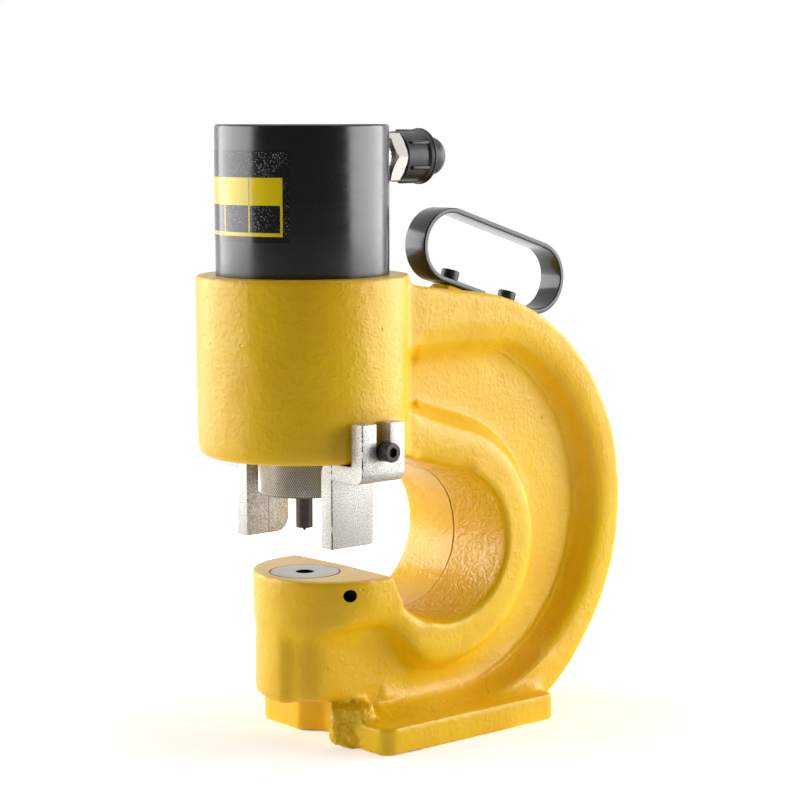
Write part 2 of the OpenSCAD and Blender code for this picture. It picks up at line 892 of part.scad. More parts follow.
// Side view of the loop at a given distance inside its outer face
module loop_outline(inset) {
    r = loop_r - inset;
    circle(r = r);
    translate([loop_len, 0]) circle(r = r);
    translate([0, -r]) square([loop_len, 2 * r]);
}

module handle_strap() {
    color("#232325")
    placed()
    difference() {
        at_handle()
            along_y(-strap_w / 2, strap_w / 2)
                difference() {
                    loop_outline(0);
                    loop_outline(strap_t);
                    translate([strap_front, -loop_r - past])
                        square([loop_len - strap_front - strap_back, strap_t + 2 * past]);
                }
        handle_screw_places()
            translate([0, 0, -past]) cylinder(r = screw_r + fit, h = strap_t + 2 * past);
    }
}

module handle_screws() {
    color("#202022")
    placed()
    handle_screw_places()
    translate([0, 0, strap_t]) socket_screw(strap_t + thread_len - past);
}

// Turns a piece drawn upwards from Z = 0 to point along the coupler
module along_coupler(x) {
    translate([x, 0, port_z]) rotate([0, 90, 0]) children();
}

module coupler_seal_washer() {
    color("#b5a642")
    placed()
    along_coupler(spot_x)
    difference() {
        cylinder(r = seal_washer_r, h = seal_washer_t);
        translate([0, 0, -past]) cylinder(r = port_r + fit, h = seal_washer_t + 2 * past);
    }
}

module coupler_body() {
    color("#c9ccd0")
    placed()
    difference() {
        union() {
            along_coupler(spot_x - port_len + gap) cylinder(r = port_r, h = port_len + seal_washer_t);
            along_coupler(collar_x) cylinder(r = collar_r, h = collar_len);
            along_coupler(hex_x) rotate([0, 0, 30]) cylinder(d = hex_af / cos(30), h = hex_len, $fn = 6);
            along_coupler(nipple_x - past) cylinder(r = nipple_r, h = nipple_len + past);
        }
        along_coupler(spot_x - port_len) cylinder(r = oil_r, h = valve_x - spot_x + port_len + past);
        along_coupler(valve_x) cylinder(r = poppet_r + fit, h = nipple_end - lip - valve_x);
        along_coupler(valve_x) cylinder(r = oil_r, h = nipple_end - valve_x + past);
        along_coupler(nipple_end - nipple_len / 2)
            rotate_extrude() translate([nipple_r + past, 0]) circle(r = 2 * past);
    }
}

module coupler_poppet() {
    color("#a9acb0")
    placed() {
        along_coupler(poppet_x) cylinder(r = poppet_r, h = poppet_len);
        along_coupler(poppet_x) cylinder(r = oil_r - gap, h = poppet_len + gap + lip);
    }
}

module dust_cap() {
    body_r = cap_r - cap_rib_r / 2;
    flange_x = cap_x + cap_len;
    tip_x = flange_x + flange_t;
    color("#18181a")
    placed()
    difference() {
        union() {
            along_coupler(cap_x) cylinder(r = body_r, h = cap_len + past);
            for (k = [0 : cap_ribs - 1])
                along_coupler(cap_x)
                    rotate([0, 0, 360 * k / cap_ribs])
                        translate([cap_r - cap_rib_r, 0, 0]) cylinder(r = cap_rib_r, h = cap_len + past);
            along_coupler(flange_x) cylinder(r = flange_r, h = flange_t);
            along_coupler(tip_x)
                rotate_extrude()
                    polygon([
                        [0, 0],
                        [tip_r, 0],
                        [tip_r, tip_len * 0.85],
                        [tip_r * 0.85, tip_len],
                        [0, tip_len]
                    ]);
        }
        along_coupler(cap_x - past) cylinder(r = nipple_r + gap, h = nipple_len - cap_gap + past + gap);
    }
}

c_frame();
cylinder_barrel();
barrel_seal_ring();
data_sticker();
guide_bush();
rod_wiper();
return_spring();
ram();
piston_seal();
piston_guide_ring();
punch();
punch_nut();
die();
die_set_screw();
stripper_left();
stripper_right();
stripper_screws();
stripper_washers();
handle_strap();
handle_screws();
coupler_seal_washer();
coupler_body();
coupler_poppet();
dust_cap();
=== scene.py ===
import math

import bmesh
import bpy
import numpy as np
import openvdb
from mathutils import Matrix, Vector


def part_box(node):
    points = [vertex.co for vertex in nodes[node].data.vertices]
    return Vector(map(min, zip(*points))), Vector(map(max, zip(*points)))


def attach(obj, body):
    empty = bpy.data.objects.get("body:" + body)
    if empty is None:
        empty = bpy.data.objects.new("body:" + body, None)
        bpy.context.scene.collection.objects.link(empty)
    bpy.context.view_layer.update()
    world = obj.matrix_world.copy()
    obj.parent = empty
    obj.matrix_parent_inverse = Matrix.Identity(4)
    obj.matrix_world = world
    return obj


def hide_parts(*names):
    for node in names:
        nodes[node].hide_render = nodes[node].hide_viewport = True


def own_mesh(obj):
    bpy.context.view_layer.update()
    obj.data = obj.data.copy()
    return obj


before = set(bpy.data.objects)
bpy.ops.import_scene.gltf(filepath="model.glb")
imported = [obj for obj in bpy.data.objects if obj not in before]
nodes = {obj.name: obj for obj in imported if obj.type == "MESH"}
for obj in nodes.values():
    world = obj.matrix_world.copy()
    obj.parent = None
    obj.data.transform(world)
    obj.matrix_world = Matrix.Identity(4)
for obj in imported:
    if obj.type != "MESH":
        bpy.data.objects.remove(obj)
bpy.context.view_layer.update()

# Casting: the C-shaped body with its cylinder head, anvil and foot.
# Ductile iron, sand cast in one piece, then faced and bored for the cylinder, the die
# and the screws, and sprayed with thick yellow enamel that fills and rounds every corner.
mm = 0.001
clear = 0.05
die_low, die_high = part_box("die")
cast_low, cast_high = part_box("c_frame")
punch_axis = (die_low.x + die_high.x) / 2 / mm
anvil_top = die_high.z / mm
nut_gap = 0.3
head_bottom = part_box("punch_nut")[1].z / mm + nut_gap
head_top = cast_high.z / mm
head_r = -(cast_low.x / mm) + punch_axis
throat_in, throat_z, throat_r = 69, anvil_top + 11.4, 41
pocket_in, pocket_z, ridge_r = 79.7, 120.5, 98.5
stub_in, stub_y = 3, -25
handle_slope = math.radians(17.8)
handle_front = Vector((punch_axis + 101.1, 0, 271.3))
handle_r = 21.2
screw_r = 3.0
screw_runs = (10.6, 57.1)
bracket_screw_z = head_bottom + 7.8
set_screw_z, set_screw_r = anvil_top - 7.7, 3.4
die_r, die_tall = 19.5, 20
slug_r, slug_low = 8, 25.3
bore_r, spigot_tall = 45, 55
chamber_r = 40
bush_r, floor_tall = 23, 16.3
wiper_r, wiper_tall = 24.4, 5
rod_r = 19


def linear(code):
    """The linear colour of an sRGB hex code"""
    parts = [int(code[k:k + 2], 16) / 255 for k in (0, 2, 4)]
    return [v / 12.92 if v <= 0.04045 else ((v + 0.055) / 1.055) ** 2.4 for v in parts] + [1.0]


def add(kind, inputs=(), tree=None, **fields):
    """A new node with its fields set and its inputs filled with values or other nodes' outputs,
    in the tree given or else in the one that the outputs are in"""
    inputs = dict(inputs)
    tree = tree or next(v.id_data for v in inputs.values() if isinstance(v, bpy.types.NodeSocket))
    made = tree.nodes.new(kind)
    for field, value in fields.items():
        setattr(made, field, value)
    for place, value in inputs.items():
        if isinstance(value, bpy.types.NodeSocket):
            tree.links.new(value, made.inputs[place])
        else:
            made.inputs[place].default_value = value
    return made


def finish(name, colour, rough, metal=0.0, **others):
    """A new material and its shader, with its main values set"""
    made = bpy.data.materials.new(name)
    made.use_nodes = True
    shader = made.node_tree.nodes["Principled BSDF"]
    values = {"Base Color": linear(colour), "Roughness": rough, "Metallic": metal, **others}
    for place, value in values.items():
        shader.inputs[place].default_value = value
    return made, shader


def placed(name, data):
    """A new object in the scene"""
    made = bpy.data.objects.new(name, data)
    bpy.context.scene.collection.objects.link(made)
    return made


def shown(name, mesh, material, body, *replaced):
    """Puts a finished mesh in the scene, riding on its body in place of its CAD nodes"""
    piece = placed(name, mesh)
    mesh.materials.clear()
    mesh.materials.append(material)
    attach(piece, body)
    if replaced:
        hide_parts(*replaced)
    return piece


def saved(work, name):
    """The mesh that was built in work, which is then freed"""
    mesh = bpy.data.meshes.new(name)
    work.to_mesh(mesh)
    work.free()
    return mesh


def welded(node):
    """A CAD node's mesh, open for changes, with its loose triangles joined"""
    work = bmesh.new()
    work.from_mesh(nodes[node].data)
    bmesh.ops.remove_doubles(work, verts=work.verts, dist=2e-6)
    return work


def released(holder):
    """The mesh that a held object's modifiers leave, without the object"""
    mesh = bpy.data.meshes.new_from_object(holder.evaluated_get(bpy.context.evaluated_depsgraph_get()))
    bpy.data.objects.remove(holder)
    return mesh


def shaded(mesh, angle=32):
    """The mesh shaded smooth, but for edges that are sharper than this many degrees"""
    mesh.shade_smooth()
    mesh.set_sharp_from_angle(angle=math.radians(angle))
    return mesh


def smoothed(field, spread, axes):
    """A distance field blurred along these axes, which rounds corners and keeps flat faces"""
    half = max(1, round(3 * spread))
    bell = np.exp(-0.5 * (np.arange(-half, half + 1) / spread) ** 2)
    bell /= bell.sum()
    for axis in axes:
        edges = [(half, half) if a == axis else (0, 0) for a in range(3)]
        padded = np.pad(field, edges, mode="edge")
        total = np.zeros_like(field)
        for k, weight in enumerate(bell):
            part = [slice(None)] * 3
            part[axis] = slice(k, k + field.shape[axis])
            total += np.float32(weight) * padded[tuple(part)]
        field = total
    return field


def rising(low, high, values):
    """0 below low, 1 above high, and a soft step between them"""
    t = np.clip((values - low) / (high - low), 0, 1)
    return t * t * (3 - 2 * t)


def falling(low, high, values):
    """1 below low, 0 above high, and a soft step between them"""
    return rising(-high, -low, -values)


def ripple(points, length, seed):
    """Smooth waves of about this length, from a fixed seed, between about -1 and 1"""
    dice = np.random.default_rng(seed)
    total = 0
    for _ in range(7):
        aim = dice.normal(size=3)
        aim *= 2 * math.pi / (length * dice.uniform(0.7, 1.5) * np.linalg.norm(aim))
        total = total + np.sin(sum(a * p for a, p in zip(aim, points)) + dice.uniform(0, 7))
    return (total / 3.5).astype(np.float32)


cell = 1.25
band = 9
cad = saved(welded("c_frame"), "cast_iron")
corners = np.empty(len(cad.vertices) * 3, np.float32)
cad.vertices.foreach_get("co", corners)
corners = corners.reshape(-1, 3) / mm
cad.calc_loop_triangles()
triangles = np.empty(len(cad.loop_triangles) * 3, np.int32)
cad.loop_triangles.foreach_get("vertices", triangles)
grid = openvdb.FloatGrid.createLevelSetFromPolygons(
    corners, triangles=triangles.reshape(-1, 3),
    transform=openvdb.createLinearTransform(cell), halfWidth=band)
start = np.floor(corners.min(0) / cell).astype(int) - 6
size = np.ceil(corners.max(0) / cell).astype(int) + 7 - start
field = np.full(size, band * cell, np.float32)
grid.copyToArray(field, ijk=tuple(int(v) for v in start))
bpy.data.meshes.remove(cad)

x, y, z = np.meshgrid(*[(np.arange(n) + s).astype(np.float32) * cell for n, s in zip(size, start)],
                      indexing="ij")
px = x - punch_axis
from_axis = np.hypot(px, y)
from_pocket = np.hypot(px - pocket_in, z - pocket_z)
# The bores are filled before the skin is rounded, and cut again afterwards with sharp edges.
nose_in, nose_r = 19, 44
nose = np.hypot(px - nose_in, y) - nose_r
head = np.maximum(from_axis - head_r, np.maximum(head_bottom - z, z - head_top))
die_seat = np.maximum(from_axis - (die_r + 1.5), np.maximum(72 - z, z - anvil_top))
slug_way = np.maximum(from_axis - (slug_r + 2), np.maximum(slug_low - z, z - 80))
set_screw_way = np.maximum(np.maximum(np.hypot(px, z - set_screw_z) - 5, nose), y + 15)
field = np.minimum.reduce([field, head, die_seat, slug_way, set_screw_way])
along = math.cos(handle_slope) * (x - handle_front.x) - math.sin(handle_slope) * (z - handle_front.z)
above = math.sin(handle_slope) * (x - handle_front.x) + math.cos(handle_slope) * (z - handle_front.z)
for run in screw_runs:
    plug = np.maximum(np.hypot(along - run, y) - 4.5, np.maximum(above + handle_r, -above - handle_r - 15))
    field = np.minimum(field, plug)


def filled(field, spread, where, axes):
    """The field with its inside corners filled to a fillet of about twice the spread, in millimetres"""
    return field + where * np.minimum(0, smoothed(field, spread / cell, axes) - field)


def eased_off(field, spread, where, axes):
    """The field with its outside corners rounded to about twice the spread, in millimetres"""
    return field + where * np.maximum(0, smoothed(field, spread / cell, axes) - field)


# Where the casting's corners are more rounded or filled than the rest, each from 0 to 1
side_view, top_view, all_ways = (0, 2), (0, 1), (0, 1, 2)
by_handle = rising(-30, -24, above) * falling(10, 14, np.abs(y)) * rising(20, 30, px)
by_stub = falling(28, 34, px) * falling(30, 34, z)
by_foot = rising(12, 18, z) * falling(34, 42, z) * rising(22, 30, px)
below_block = rising(22, 25, z) * falling(60, 69, z)
under_block = rising(-26, -14, px) * falling(46, 60, px) * rising(56, 62, z) * falling(76, 82, z)
under_head = falling(head_bottom + 5, head_bottom + 9, z) * rising(head_bottom - 4, head_bottom - 2, z)
under_head = under_head * falling(12, 24, px)
by_rim = rising(52, 64, px) * rising(25, 40, z) * (1 - by_handle)
off_throat = rising(47, 53, np.hypot(px - throat_in, z - throat_z))
by_bends = rising(27.2, 28.6, np.abs(y)) * rising(0, 8, px) * rising(32, 38, z) * off_throat * (1 - by_handle)
by_bends = by_bends * falling(111, 116, from_pocket)
by_bends = by_bends * np.maximum(falling(76, 82, z), rising(61, 64, from_axis) * falling(226, 232, z))
by_roof = falling(14, 24, np.abs(px - 66)) * falling(8, 16, np.abs(z - throat_z - 43))
near_corner = below_block * falling(12, 22, px) * rising(6, 12, -y)
below_web = below_block * falling(30, 50, px) * (1 - by_stub)
for change, spread, where, axes in (
        (eased_off, 9, near_corner, top_view), (filled, 6, by_bends, side_view),
        (eased_off, 6, by_bends, side_view), (eased_off, 6, by_roof, side_view),
        (filled, 1.0, 1 - by_handle, all_ways), (filled, 1.7, (1 - by_handle) * (1 - by_stub), all_ways),
        (filled, 4.2, by_foot, all_ways), (filled, 7, below_web, all_ways), (eased_off, 1.0, 1, all_ways),
        (eased_off, 1.4, by_rim, all_ways), (eased_off, 3.6, under_block, all_ways),
        (eased_off, 2.4, under_head, all_ways)):
    field = change(field, spread, where, axes)
sand = 0.1 * (1 + ripple((x, y, z), 40, 3)) + 0.03 * (1 + ripple((x, y, z), 13, 4))
machined = [falling(0.5, 1.5, np.abs(z - level)) for level in (0, head_top, head_bottom)]
machined.append(falling(0.5, 1.5, np.abs(z - anvil_top)) * falling(50, 60, px))
field = field + sand * (1 - np.maximum.reduce(machined))
stub = falling(12, 16, np.abs(px - stub_in)) * falling(8, 12, np.abs(y - (stub_y + 0.5))) * falling(24, 28, z)
crumbs = 0.7 + 0.5 * ripple((x, y, z), 9, 5) + 0.5 * ripple((x, y, z), 5, 6)
field = field + stub * crumbs * falling(6, 10, np.abs(px - (stub_in + 1)))

grid = openvdb.FloatGrid(band * cell)
grid.copyFromArray(field, ijk=tuple(int(v) for v in start))
grid.transform = openvdb.createLinearTransform(cell)
points, quads = grid.convertToQuads(isovalue=0)
mesh = bpy.data.meshes.new("casting")
mesh.from_pydata(points.astype(float) * mm, [], quads[:, ::-1].tolist())
most_triangles = 180000
holder = placed("holder", mesh)
thinner = holder.modifiers.new("thinner", "DECIMATE")
thinner.ratio = min(1, most_triangles / (2 * len(quads)))
mesh = released(holder)


def bar(radius, start, end, sides=96):
    """A plain round bar from one point to another, in millimetres, used to cut a bore"""
    work = bmesh.new()
    span = Vector(end) - Vector(start)
    middle = Matrix.Translation((Vector(start) + span / 2) * mm)
    bmesh.ops.create_cone(work, cap_ends=True, segments=sides, radius1=radius * mm, radius2=radius * mm,
                          depth=span.length * mm, matrix=middle @ span.to_track_quat("Z", "Y").to_matrix().to_4x4())
    return placed("bar", saved(work, "bar"))


def upright(radius, low, high, sides=96):
    """A bar on the punch axis from one height to another"""
    return bar(radius, (punch_axis, 0, low), (punch_axis, 0, high), sides)


def combined(mesh, tools, operation="DIFFERENCE", sharp=32):
    """The mesh after each tool has cut or joined it, shaded smooth but for its sharp edges"""
    for tool in tools:
        holder = placed("holder", mesh)
        step = holder.modifiers.new("step", "BOOLEAN")
        step.operation = operation
        step.solver = "MANIFOLD"
        step.object = tool
        mesh = released(holder)
        bpy.data.objects.remove(tool)
    return shaded(mesh, sharp)


normal = Vector((math.sin(handle_slope), 0, math.cos(handle_slope)))
run_way = Vector((math.cos(handle_slope), 0, -math.sin(handle_slope)))
seats = [handle_front + run * run_way - handle_r * normal for run in screw_runs]
tools = [
    upright(die_r + clear, anvil_top - die_tall, anvil_top + 3),
    upright(die_r + 0.3, anvil_top - 1, anvil_top + 3),
    upright(slug_r, 10, anvil_top - die_tall + 1),
    bar(set_screw_r + clear, (punch_axis, -48, set_screw_z), (punch_axis, -18, set_screw_z), 32),
    upright(bore_r + clear, head_top - spigot_tall, head_top + 3, 160),
    upright(chamber_r, head_bottom + floor_tall, head_top - spigot_tall + 5, 128),
    upright(bush_r + clear, head_bottom - 3, head_bottom + floor_tall + 0.7),
    upright(wiper_r + clear, head_bottom - 3, head_bottom + wiper_tall)]
for side in (-1, 1):
    outer, inner = (punch_axis, 60 * side, bracket_screw_z), (punch_axis, 45 * side, bracket_screw_z)
    tools.append(bar(screw_r + clear, outer, inner, 32))
for seat in seats:
    tools.append(bar(screw_r + clear, seat + 3 * normal, seat - 12 * normal, 32))
mesh = combined(mesh, tools, sharp=38)

# Sprayed alkyd enamel over sand-cast skin: deep yellow, wet looking, with soft dents, drips and a few pits.
pale_yellow, deep_yellow = "f8ca09", "f1b904"
enamel, shader = finish("yellow enamel", pale_yellow, 0.32, IOR=1.45)


def noise(spot, scale, detail=2.0, rough=0.5):
    """The grey output of a noise texture at this place and scale"""
    inputs = {"Vector": spot, "Scale": scale, "Detail": detail, "Roughness": rough}
    return add("ShaderNodeTexNoise", inputs).outputs["Fac"]


def ramp(value, low=0.0, high=1.0, first=0.0, last=1.0):
    """The value carried from the span low to high to the span first to last, and held beyond it"""
    inputs = {"Value": value, "From Min": low, "From Max": high, "To Min": first, "To Max": last}
    return add("ShaderNodeMapRange", inputs).outputs[0]


def maths(operation, first, second=0.0):
    """The result of one sum on two values or outputs"""
    return add("ShaderNodeMath", {0: first, 1: second}, operation=operation).outputs[0]


def product(first, *others):
    """Some values or outputs multiplied together"""
    for other in others:
        first = maths("MULTIPLY", first, other)
    return first


def off_from(value, target):
    """How far a value is from its target, either way"""
    return maths("ABSOLUTE", maths("SUBTRACT", value, target))


def close_to(value, target, reach):
    """1 where the value is within reach of its target, or else 0"""
    return add("ShaderNodeMath", {0: value, 1: target, 2: reach}, operation="COMPARE").outputs[0]


def vector(operation, first, second=(0, 0, 0), output="Vector"):
    """The result of one sum on two vectors"""
    return add("ShaderNodeVectorMath", {0: first, 1: second}, operation=operation).outputs[output]


def reach_from(spot, centre, axes):
    """How far the surface is from a centre in millimetres, in metres along the axes that are 1"""
    away = vector("SUBTRACT", spot, Vector(centre) * mm)
    return vector("LENGTH", vector("MULTIPLY", away, axes), output="Value")


def blend(share, first, second):
    """A colour between two colours or outputs, given as hex codes or sockets"""
    ends = [linear(c) if isinstance(c, str) else c for c in (first, second)]
    return add("ShaderNodeMix", {0: share, 6: ends[0], 7: ends[1]}, data_type="RGBA").outputs[2]


def raised(shader, *layers):
    """Bumps the shader's surface by each layer of height, depth in millimetres and strength in turn"""
    normal = None
    for height, depth, strength in layers:
        inputs = {"Strength": strength, "Distance": depth * mm, "Height": height}
        if normal:
            inputs["Normal"] = normal
        normal = add("ShaderNodeBump", inputs).outputs[0]
    dressed(shader, normal=normal)


def dressed(shader, colour=None, dull=None, glow=None, normal=None):
    """Feeds the shader's main inputs from these outputs"""
    fed = {"Base Color": colour, "Roughness": dull, "Emission Strength": glow, "Normal": normal}
    for place, output in fed.items():
        if output:
            shader.id_data.links.new(output, shader.inputs[place])


def object_spot(shader):
    """The surface's own coordinates"""
    return add("ShaderNodeTexCoord", tree=shader.id_data).outputs["Object"]


def xyz(spot):
    """The three parts of a place"""
    return add("ShaderNodeSeparateXYZ", {"Vector": spot}).outputs


spot = object_spot(shader)
across, depth, height = xyz(spot)
cloud = noise(spot, 22, 3)
tone = blend(ramp(cloud, 0.35, 0.72), pale_yellow, deep_yellow)

cells = add("ShaderNodeTexVoronoi", {"Vector": spot, "Scale": 95})
warp = noise(spot, 700, 1)
pit = ramp(maths("ADD", cells.outputs["Distance"], product(warp, 0.12)), 0.17, 0.1)
chosen = add("ShaderNodeSeparateColor", {0: cells.outputs["Color"]}).outputs[0]
patch = ramp(noise(spot, 26), 0.5, 0.6)
pit = product(pit, ramp(chosen, 0.55, 0.63), patch)
dirt = product(pit, ramp(chosen, 0.88, 0.92, 0.25, 0.8))
low = ramp(height, 0.0035, 0.0005)
chip = ramp(product(low, noise(spot, 30)), 0.53, 0.56)

throat_centre = (punch_axis + throat_in, 0, throat_z)
in_throat = ramp(reach_from(spot, throat_centre, (1, 0, 1)), (throat_r + 3.5) * mm, (throat_r + 1.5) * mm)
near_side = ramp(depth, 0.003, -0.002)
crinkle = add("ShaderNodeTexNoise", {"Vector": spot, "Scale": 230, "Detail": 3, "Distortion": 1.2})
crinkle = product(ramp(crinkle.outputs["Fac"], 0.35, 0.65), in_throat, near_side)
wander = maths("ADD", depth, ramp(noise(spot, 40), 0, 1, -0.0022, 0.0022))
step = product(ramp(wander, -0.0003, 0.0003), in_throat)
seam_groove_and_shade = ramp(maths("ABSOLUTE", wander), 0.0007, 0.0003)
seam_groove_and_shade = product(seam_groove_and_shade, in_throat, ramp(height, 0.08, 0.1))

machined_top_sheen = close_to(height, anvil_top * mm, 0.0008)
machined_top_sheen = product(machined_top_sheen, ramp(across, (punch_axis + 44) * mm, (punch_axis + 40) * mm))
cast_skin = maths("SUBTRACT", 1.0, machined_top_sheen)
lumps = noise(spot, 75, 2)
dents = ramp(noise(spot, 260, 2), 0.5, 0.72)

at_stub = product(close_to(across, (punch_axis + stub_in) * mm, 0.013), close_to(depth, stub_y * mm, 0.0125),
                  ramp(height, 0.0275, 0.0255))
rubble = noise(spot, 260, 3, 0.6)
knobs = product(rubble, at_stub)

reach = reach_from(spot, (punch_axis + pocket_in, 0, pocket_z), (1, 0, 1))
reach = maths("ADD", reach, ramp(noise(spot, 120, 3), 0.2, 0.8, -0.0009, 0.0009))
ridge = ramp(off_from(reach, ridge_r * mm), 0.0012, 0.0002)
deep_in = ramp(maths("ABSOLUTE", depth), 0.034, 0.031)
ridge = product(ridge, deep_in, ramp(across, 0.03, 0.045))

tone = blend(product(ramp(rubble, 0.52, 0.38, 0, 0.35), at_stub), tone, "b98d0a")
# Paler anvil top: painted reflection of the bright room on the machined face, with a painted highlight along its
# edge
tone = blend(product(machined_top_sheen, 0.75), tone, "fae08c")
tone = blend(dirt, tone, "7a5c14")
# Dark line along the parting-line groove: painted shade of the groove, which is also bumped in below
tone = blend(product(seam_groove_and_shade, 0.75), tone, "6a4d06")
tone = blend(chip, tone, "6b675f")
gloss = maths("ADD", ramp(cloud, 0.2, 0.8, 0.26, 0.42), product(in_throat, -0.13))
dressed(shader, tone, gloss)
raised(shader,
       (noise(spot, 520, 2), 0.1, cast_skin), (dents, 0.1, cast_skin), (lumps, 0.6, cast_skin),
       (crinkle, 0.32, 0.8), (step, 0.4, 1.0), (seam_groove_and_shade, -0.4, 1.0), (ridge, 0.3, 1.0),
       (knobs, 1.2, 1.0), (product(pit, -1.0), 0.7, 0.9))
shown("casting", mesh, enamel, "press_body", "c_frame")

# Bored iron with a film of oil, half dull; its dark brown-grey is partly the oil and partly painted shade, so every
# hole reads as deep.
bored, shader = finish("oiled bore with painted shade", "33302a", 0.45, 0.7)
spot = object_spot(shader)
dressed(shader, blend(noise(spot, 300, 3), "26241f", "4a463c"))
raised(shader, (noise(spot, 900, 2), 0.1, 0.4))
mesh.materials.append(bored)
for face in mesh.polygons:
    at = face.center / mm
    from_set_screw = math.hypot(at.x - punch_axis, at.z - set_screw_z)
    from_punch = math.hypot(at.x - punch_axis, at.y)
    in_set_screw = from_set_screw < set_screw_r + 0.15 and at.y < -18 and abs(face.normal.y) < 0.3
    in_cylinder = from_punch < bore_r + 0.2 and head_bottom + 0.05 < at.z < head_top - 0.05
    in_anvil = (from_punch < die_r + 0.2 and slug_low + 0.2 < at.z < anvil_top - 0.05
                and abs(face.normal.z) < 0.3)
    if in_set_screw or in_cylinder or in_anvil:
        face.material_index = 1

# Cylinder barrel: the black hydraulic cylinder that is screwed down into the head.
# Steel tube with a solid crown, turned, its thread and oil port cut, and blacked glossy.
barrel_r = 47
barrel_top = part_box("cylinder_barrel")[1].z / mm
port_z = barrel_top - 18
port_face = barrel_r - 1.5
port_r, port_deep = 9, 14
oil_way_r = 2.5
crown_low = barrel_top - 30.6


def eased(corners, steps=5):
    """Points of an outline given as (x, y, corner radius), with each corner turned as an arc"""
    points = []
    for k, (x0, y0, radius) in enumerate(corners):
        here = Vector((x0, y0))
        if radius == 0:
            points.append(here)
            continue
        back = (Vector(corners[k - 1][:2]) - here).normalized()
        on = (Vector(corners[(k + 1) % len(corners)][:2]) - here).normalized()
        half = math.acos(max(-1, min(1, back.dot(on)))) / 2
        middle = here + (back + on).normalized() * radius / math.sin(half)
        first = here + back * radius / math.tan(half) - middle
        last = here + on * radius / math.tan(half) - middle
        sweep = math.atan2(first.x * last.y - first.y * last.x, first.dot(last))
        for s in range(steps + 1):
            points.append(middle + Matrix.Rotation(sweep * s / steps, 2) @ first)
    return points


def turned(name, corners, sides=128, place=Matrix.Identity(4), sweep=360, steps=5):
    """A mesh turned about Z from a closed outline of (radius, height, corner radius) in millimetres,
    and put in its place by the matrix"""
    work = bmesh.new()
    outline = [work.verts.new((p.x * mm, 0, p.y * mm)) for p in eased(corners, steps)]
    edges = [work.edges.new((a, b)) for a, b in zip(outline, outline[1:] + outline[:1])]
    whole = sweep == 360
    ends = [] if whole else [work.faces.new(outline)]
    bmesh.ops.spin(work, geom=outline + edges + ends, cent=(0, 0, 0), axis=(0, 0, 1),
                   angle=math.radians(sweep), steps=sides, use_merge=whole, use_duplicate=not whole)
    bmesh.ops.remove_doubles(work, verts=work.verts, dist=1e-7)
    bmesh.ops.dissolve_degenerate(work, dist=1e-7, edges=work.edges)
    bmesh.ops.recalc_face_normals(work, faces=work.faces)
    mesh = shaded(saved(work, name))
    mesh.transform(place)
    return mesh


on_punch_axis = Matrix.Translation((punch_axis * mm, 0, 0))
spigot = head_top - spigot_tall
seal_z, seal_in_r = head_top - 9.6, 42.6
barrel_mesh = turned("cylinder_barrel", [
    (0, barrel_top, 0), (barrel_r, barrel_top, 1.6), (barrel_r, head_top, 0.4), (bore_r, head_top, 0),
    (bore_r, seal_z + 1.4, 0), (seal_in_r, seal_z + 1.4, 0), (seal_in_r, seal_z - 1.4, 0),
    (bore_r, seal_z - 1.4, 0), (bore_r, spigot, 0.8), (chamber_r, spigot, 0.8),
    (chamber_r, crown_low, 0), (0, crown_low, 0)], 256, on_punch_axis)
port_mouth = (punch_axis + barrel_r + 3, 0, port_z)
barrel_mesh = combined(barrel_mesh, [
    bar(11.8, (punch_axis + port_face, 0, port_z), port_mouth),
    bar(port_r + clear, (punch_axis + port_face - port_deep, 0, port_z), port_mouth),
    bar(oil_way_r, (punch_axis, 0, port_z), (punch_axis + port_face, 0, port_z), 32),
    upright(oil_way_r, barrel_top - 32, port_z + 2, 32)])


def drawn_out(spot, stretch, scale, detail):
    """Noise drawn out into lines, as turning marks are: the smaller the stretch, the longer"""
    return noise(add("ShaderNodeMapping", {"Vector": spot, "Scale": stretch}).outputs[0], scale, detail)


def dusty(spot, scale, share, first, second):
    """A colour with fine specks of dust in the second one"""
    return blend(ramp(noise(spot, scale, 1), 0.76, 0.8, 0, share), first, second)


# Chemically blacked and oiled steel: near black, with clear tall reflections and faint turning rings.
black, shader = finish("gloss black steel", "0e0e0f", 0.2, IOR=1.6)
spot = object_spot(shader)
dull = ramp(drawn_out(spot, (1, 1, 6), 28, 4), 0, 1, 0.15, 0.3)
crown = ramp(xyz(spot)["Z"], (barrel_top - 0.6) * mm, (barrel_top - 0.1) * mm, 0.0, 0.6)
dressed(shader, dusty(spot, 700, 0.35, "0e0e0f", "7b7d82"), maths("MAXIMUM", dull, crown))
raised(shader, (drawn_out(spot, (0.02, 0.02, 1), 900, 3), 0.2, 0.12), (noise(spot, 160, 2), 0.4, 0.1))
shown("cylinder_barrel_turned", barrel_mesh, black, "press_body", "cylinder_barrel")

# Data sticker: the printed plastic film round the front of the barrel.
# Clear film over a black and yellow table whose cells are left blank, pressed on by hand.
film_low, film_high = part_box("data_sticker")
film_z = film_low.z / mm
film_w, film_h = 71.0, (film_high.z - film_low.z) / mm
film_t = 0.15
film_r = barrel_r + 0.19
half_turn = film_w / barrel_r / 2
columns, rows = 96, 24
vertices = []
for j in range(rows + 1):
    for i in range(columns + 1):
        turn = math.pi - half_turn + 2 * half_turn * i / columns
        vertices.append(((punch_axis + film_r * math.cos(turn)) * mm, film_r * math.sin(turn) * mm,
                         (film_z + film_h * j / rows) * mm))
starts = [j * (columns + 1) + i for j in range(rows) for i in range(columns)]
faces = [(k, k + 1, k + columns + 2, k + columns + 1) for k in starts]
mesh = bpy.data.meshes.new("data_sticker_film")
mesh.from_pydata(vertices, [], faces)
layer = mesh.uv_layers.new(name="film")
for loop in mesh.loops:
    j, i = divmod(loop.vertex_index, columns + 1)
    layer.uv[loop.index].vector = (film_w * i / columns, film_h * j / rows)
holder = placed("holder", mesh)
wall = holder.modifiers.new("wall", "SOLIDIFY")
